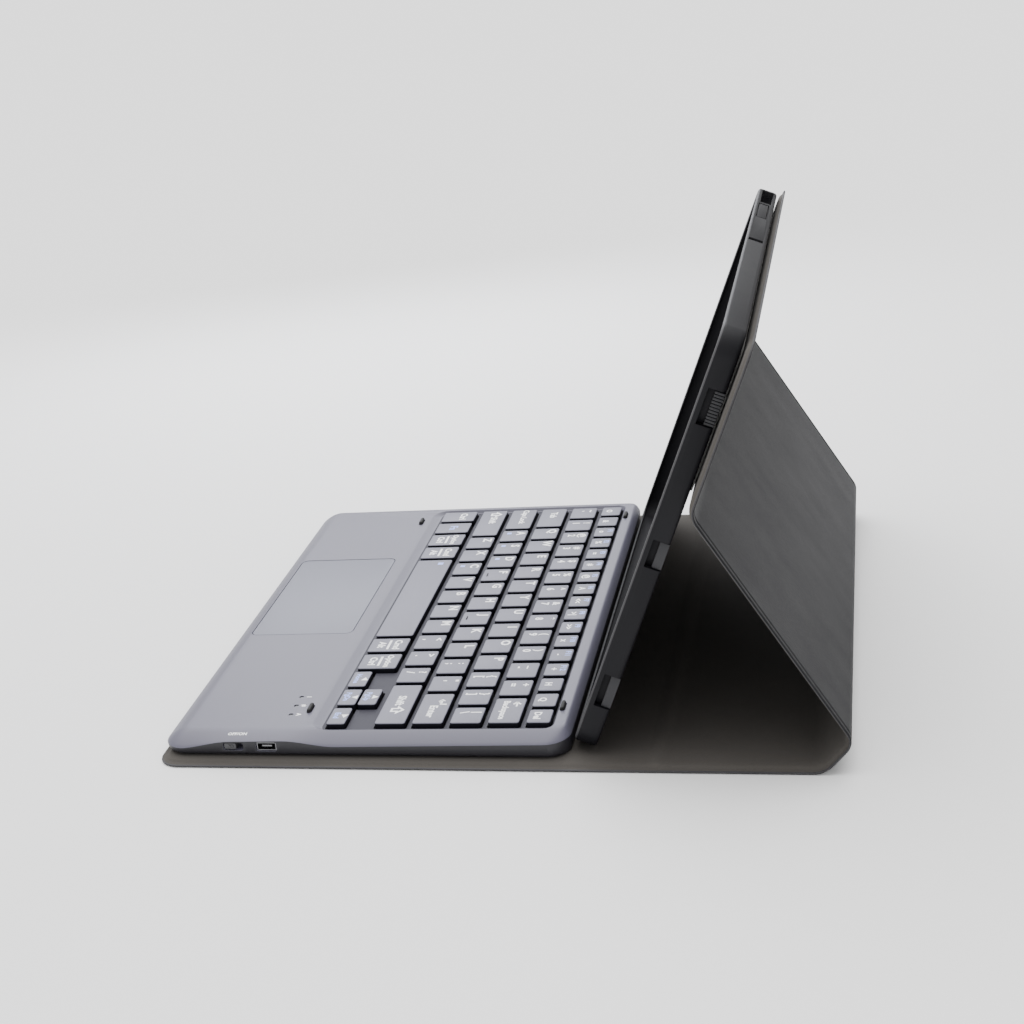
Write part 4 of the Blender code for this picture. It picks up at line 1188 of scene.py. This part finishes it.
def print_switch_label():
    """The switch's label runs along the right side, over the rounded shoulder."""
    mesh = text_mesh("OFF/ON", 0.0022)
    mesh.transform(Matrix.Translation((KEY_ORIGIN.x - 0.0553, CASE_LOW.y + 0.0042, 0)))
    for vert in mesh.vertices:
        vert.co.z = shoulder_height(vert.co.x, vert.co.y) + 2 * PRINT_HEIGHT
    mesh.materials.append(LEGEND)
    piece = bpy.data.objects.new("print_switch", mesh)
    SCENE.collection.objects.link(piece)
    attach(piece, "keyboard")


print_switch_label()

# Homing dashes on F and J, counted from the right end of the home row.
DASH_HALF = 0.0016
dashes = bmesh.new()
for position in (4, 7):
    near, width = unit_span(ENTER_UNITS + position, 1)
    y = near + width / 2
    low = (ROW_PITCH + 0.0021, y - DASH_HALF, -0.0001)
    add_rounded_block(dashes, low, (ROW_PITCH + 0.0026, y + DASH_HALF, 0.00025), 0.0002, 3, 0.0001)
dash_piece = new_piece("homing_dashes", dashes, (KEY_SIDE,), DECK)
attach(dash_piece, "home_letter_keys")

# Stage, light and camera ----------------------------------------------------

FLOOR_HALF = 6.0
WORLD_STRENGTH = 1.0
SUN_ANGLE = math.radians(75)
SUN_ENERGY = 3.7
SUN_TURN = (math.radians(-14), math.radians(-10), 0)
SOFTBOX_SIZE = (0.45, 0.30)
SOFTBOX_ENERGY = 1.9
SOFTBOX_COLOUR = (0.90, 0.93, 1.0)
SOFTBOX_PLACE = Vector((-0.20, 0.50, 0.31))
SOFTBOX_TARGET = Vector((-0.05, 0.03, 0.0))
CAMERA_LENS = 63.15
CAMERA_SENSOR = 36
# The camera's place is measured from the key origin on the table; its axes point right, up and back.
CAMERA_PLACE = Vector((0.19913, -0.60649, 0.34429))
CAMERA_AXES = (
    Vector((0.97923, 0.18101, -0.09133)),
    Vector((0.0171, 0.3751, 0.9268)),
    Vector((0.20202, -0.90916, 0.36416)),
)

floor_shape = bmesh.new()
bmesh.ops.create_grid(floor_shape, x_segments=8, y_segments=8, size=FLOOR_HALF)
floor_finish = surface(
    "floor_paper", (0.92, 0.92, 0.92), 0.9, grain=200, bump=0.02, variation=0.005, patches=2,
)
floor = new_piece("floor", floor_shape, (floor_finish,))
floor.location.z = -0.0002

world = bpy.data.worlds.new("studio")
SCENE.world = world
world.use_nodes = True
world.node_tree.nodes["Background"].inputs["Color"].default_value = (1, 1, 1, 1)
world.node_tree.nodes["Background"].inputs["Strength"].default_value = WORLD_STRENGTH

sun_data = bpy.data.lights.new("soft_sun", "SUN")
sun_data.angle = SUN_ANGLE
sun_data.energy = SUN_ENERGY
sun = bpy.data.objects.new("soft_sun", sun_data)
SCENE.collection.objects.link(sun)
sun.rotation_euler = SUN_TURN

softbox_data = bpy.data.lights.new("far_softbox", "AREA")
softbox_data.shape = "RECTANGLE"
softbox_data.size = SOFTBOX_SIZE[0]
softbox_data.size_y = SOFTBOX_SIZE[1]
softbox_data.energy = SOFTBOX_ENERGY
softbox_data.color = SOFTBOX_COLOUR
softbox = bpy.data.objects.new("far_softbox", softbox_data)
SCENE.collection.objects.link(softbox)
softbox.location = SOFTBOX_PLACE
softbox.rotation_euler = (SOFTBOX_PLACE - SOFTBOX_TARGET).to_track_quat("Z", "Y").to_euler()

camera_data = bpy.data.cameras.new("camera")
camera_data.sensor_width = CAMERA_SENSOR
camera_data.lens = CAMERA_LENS
camera_data.clip_start = 0.01
camera = bpy.data.objects.new("camera", camera_data)
SCENE.collection.objects.link(camera)
turned = Matrix(CAMERA_AXES).transposed().to_4x4()
camera.matrix_world = Matrix.Translation(CAMERA_PLACE + Vector((KEY_ORIGIN.x, KEY_ORIGIN.y, 0))) @ turned
SCENE.camera = camera
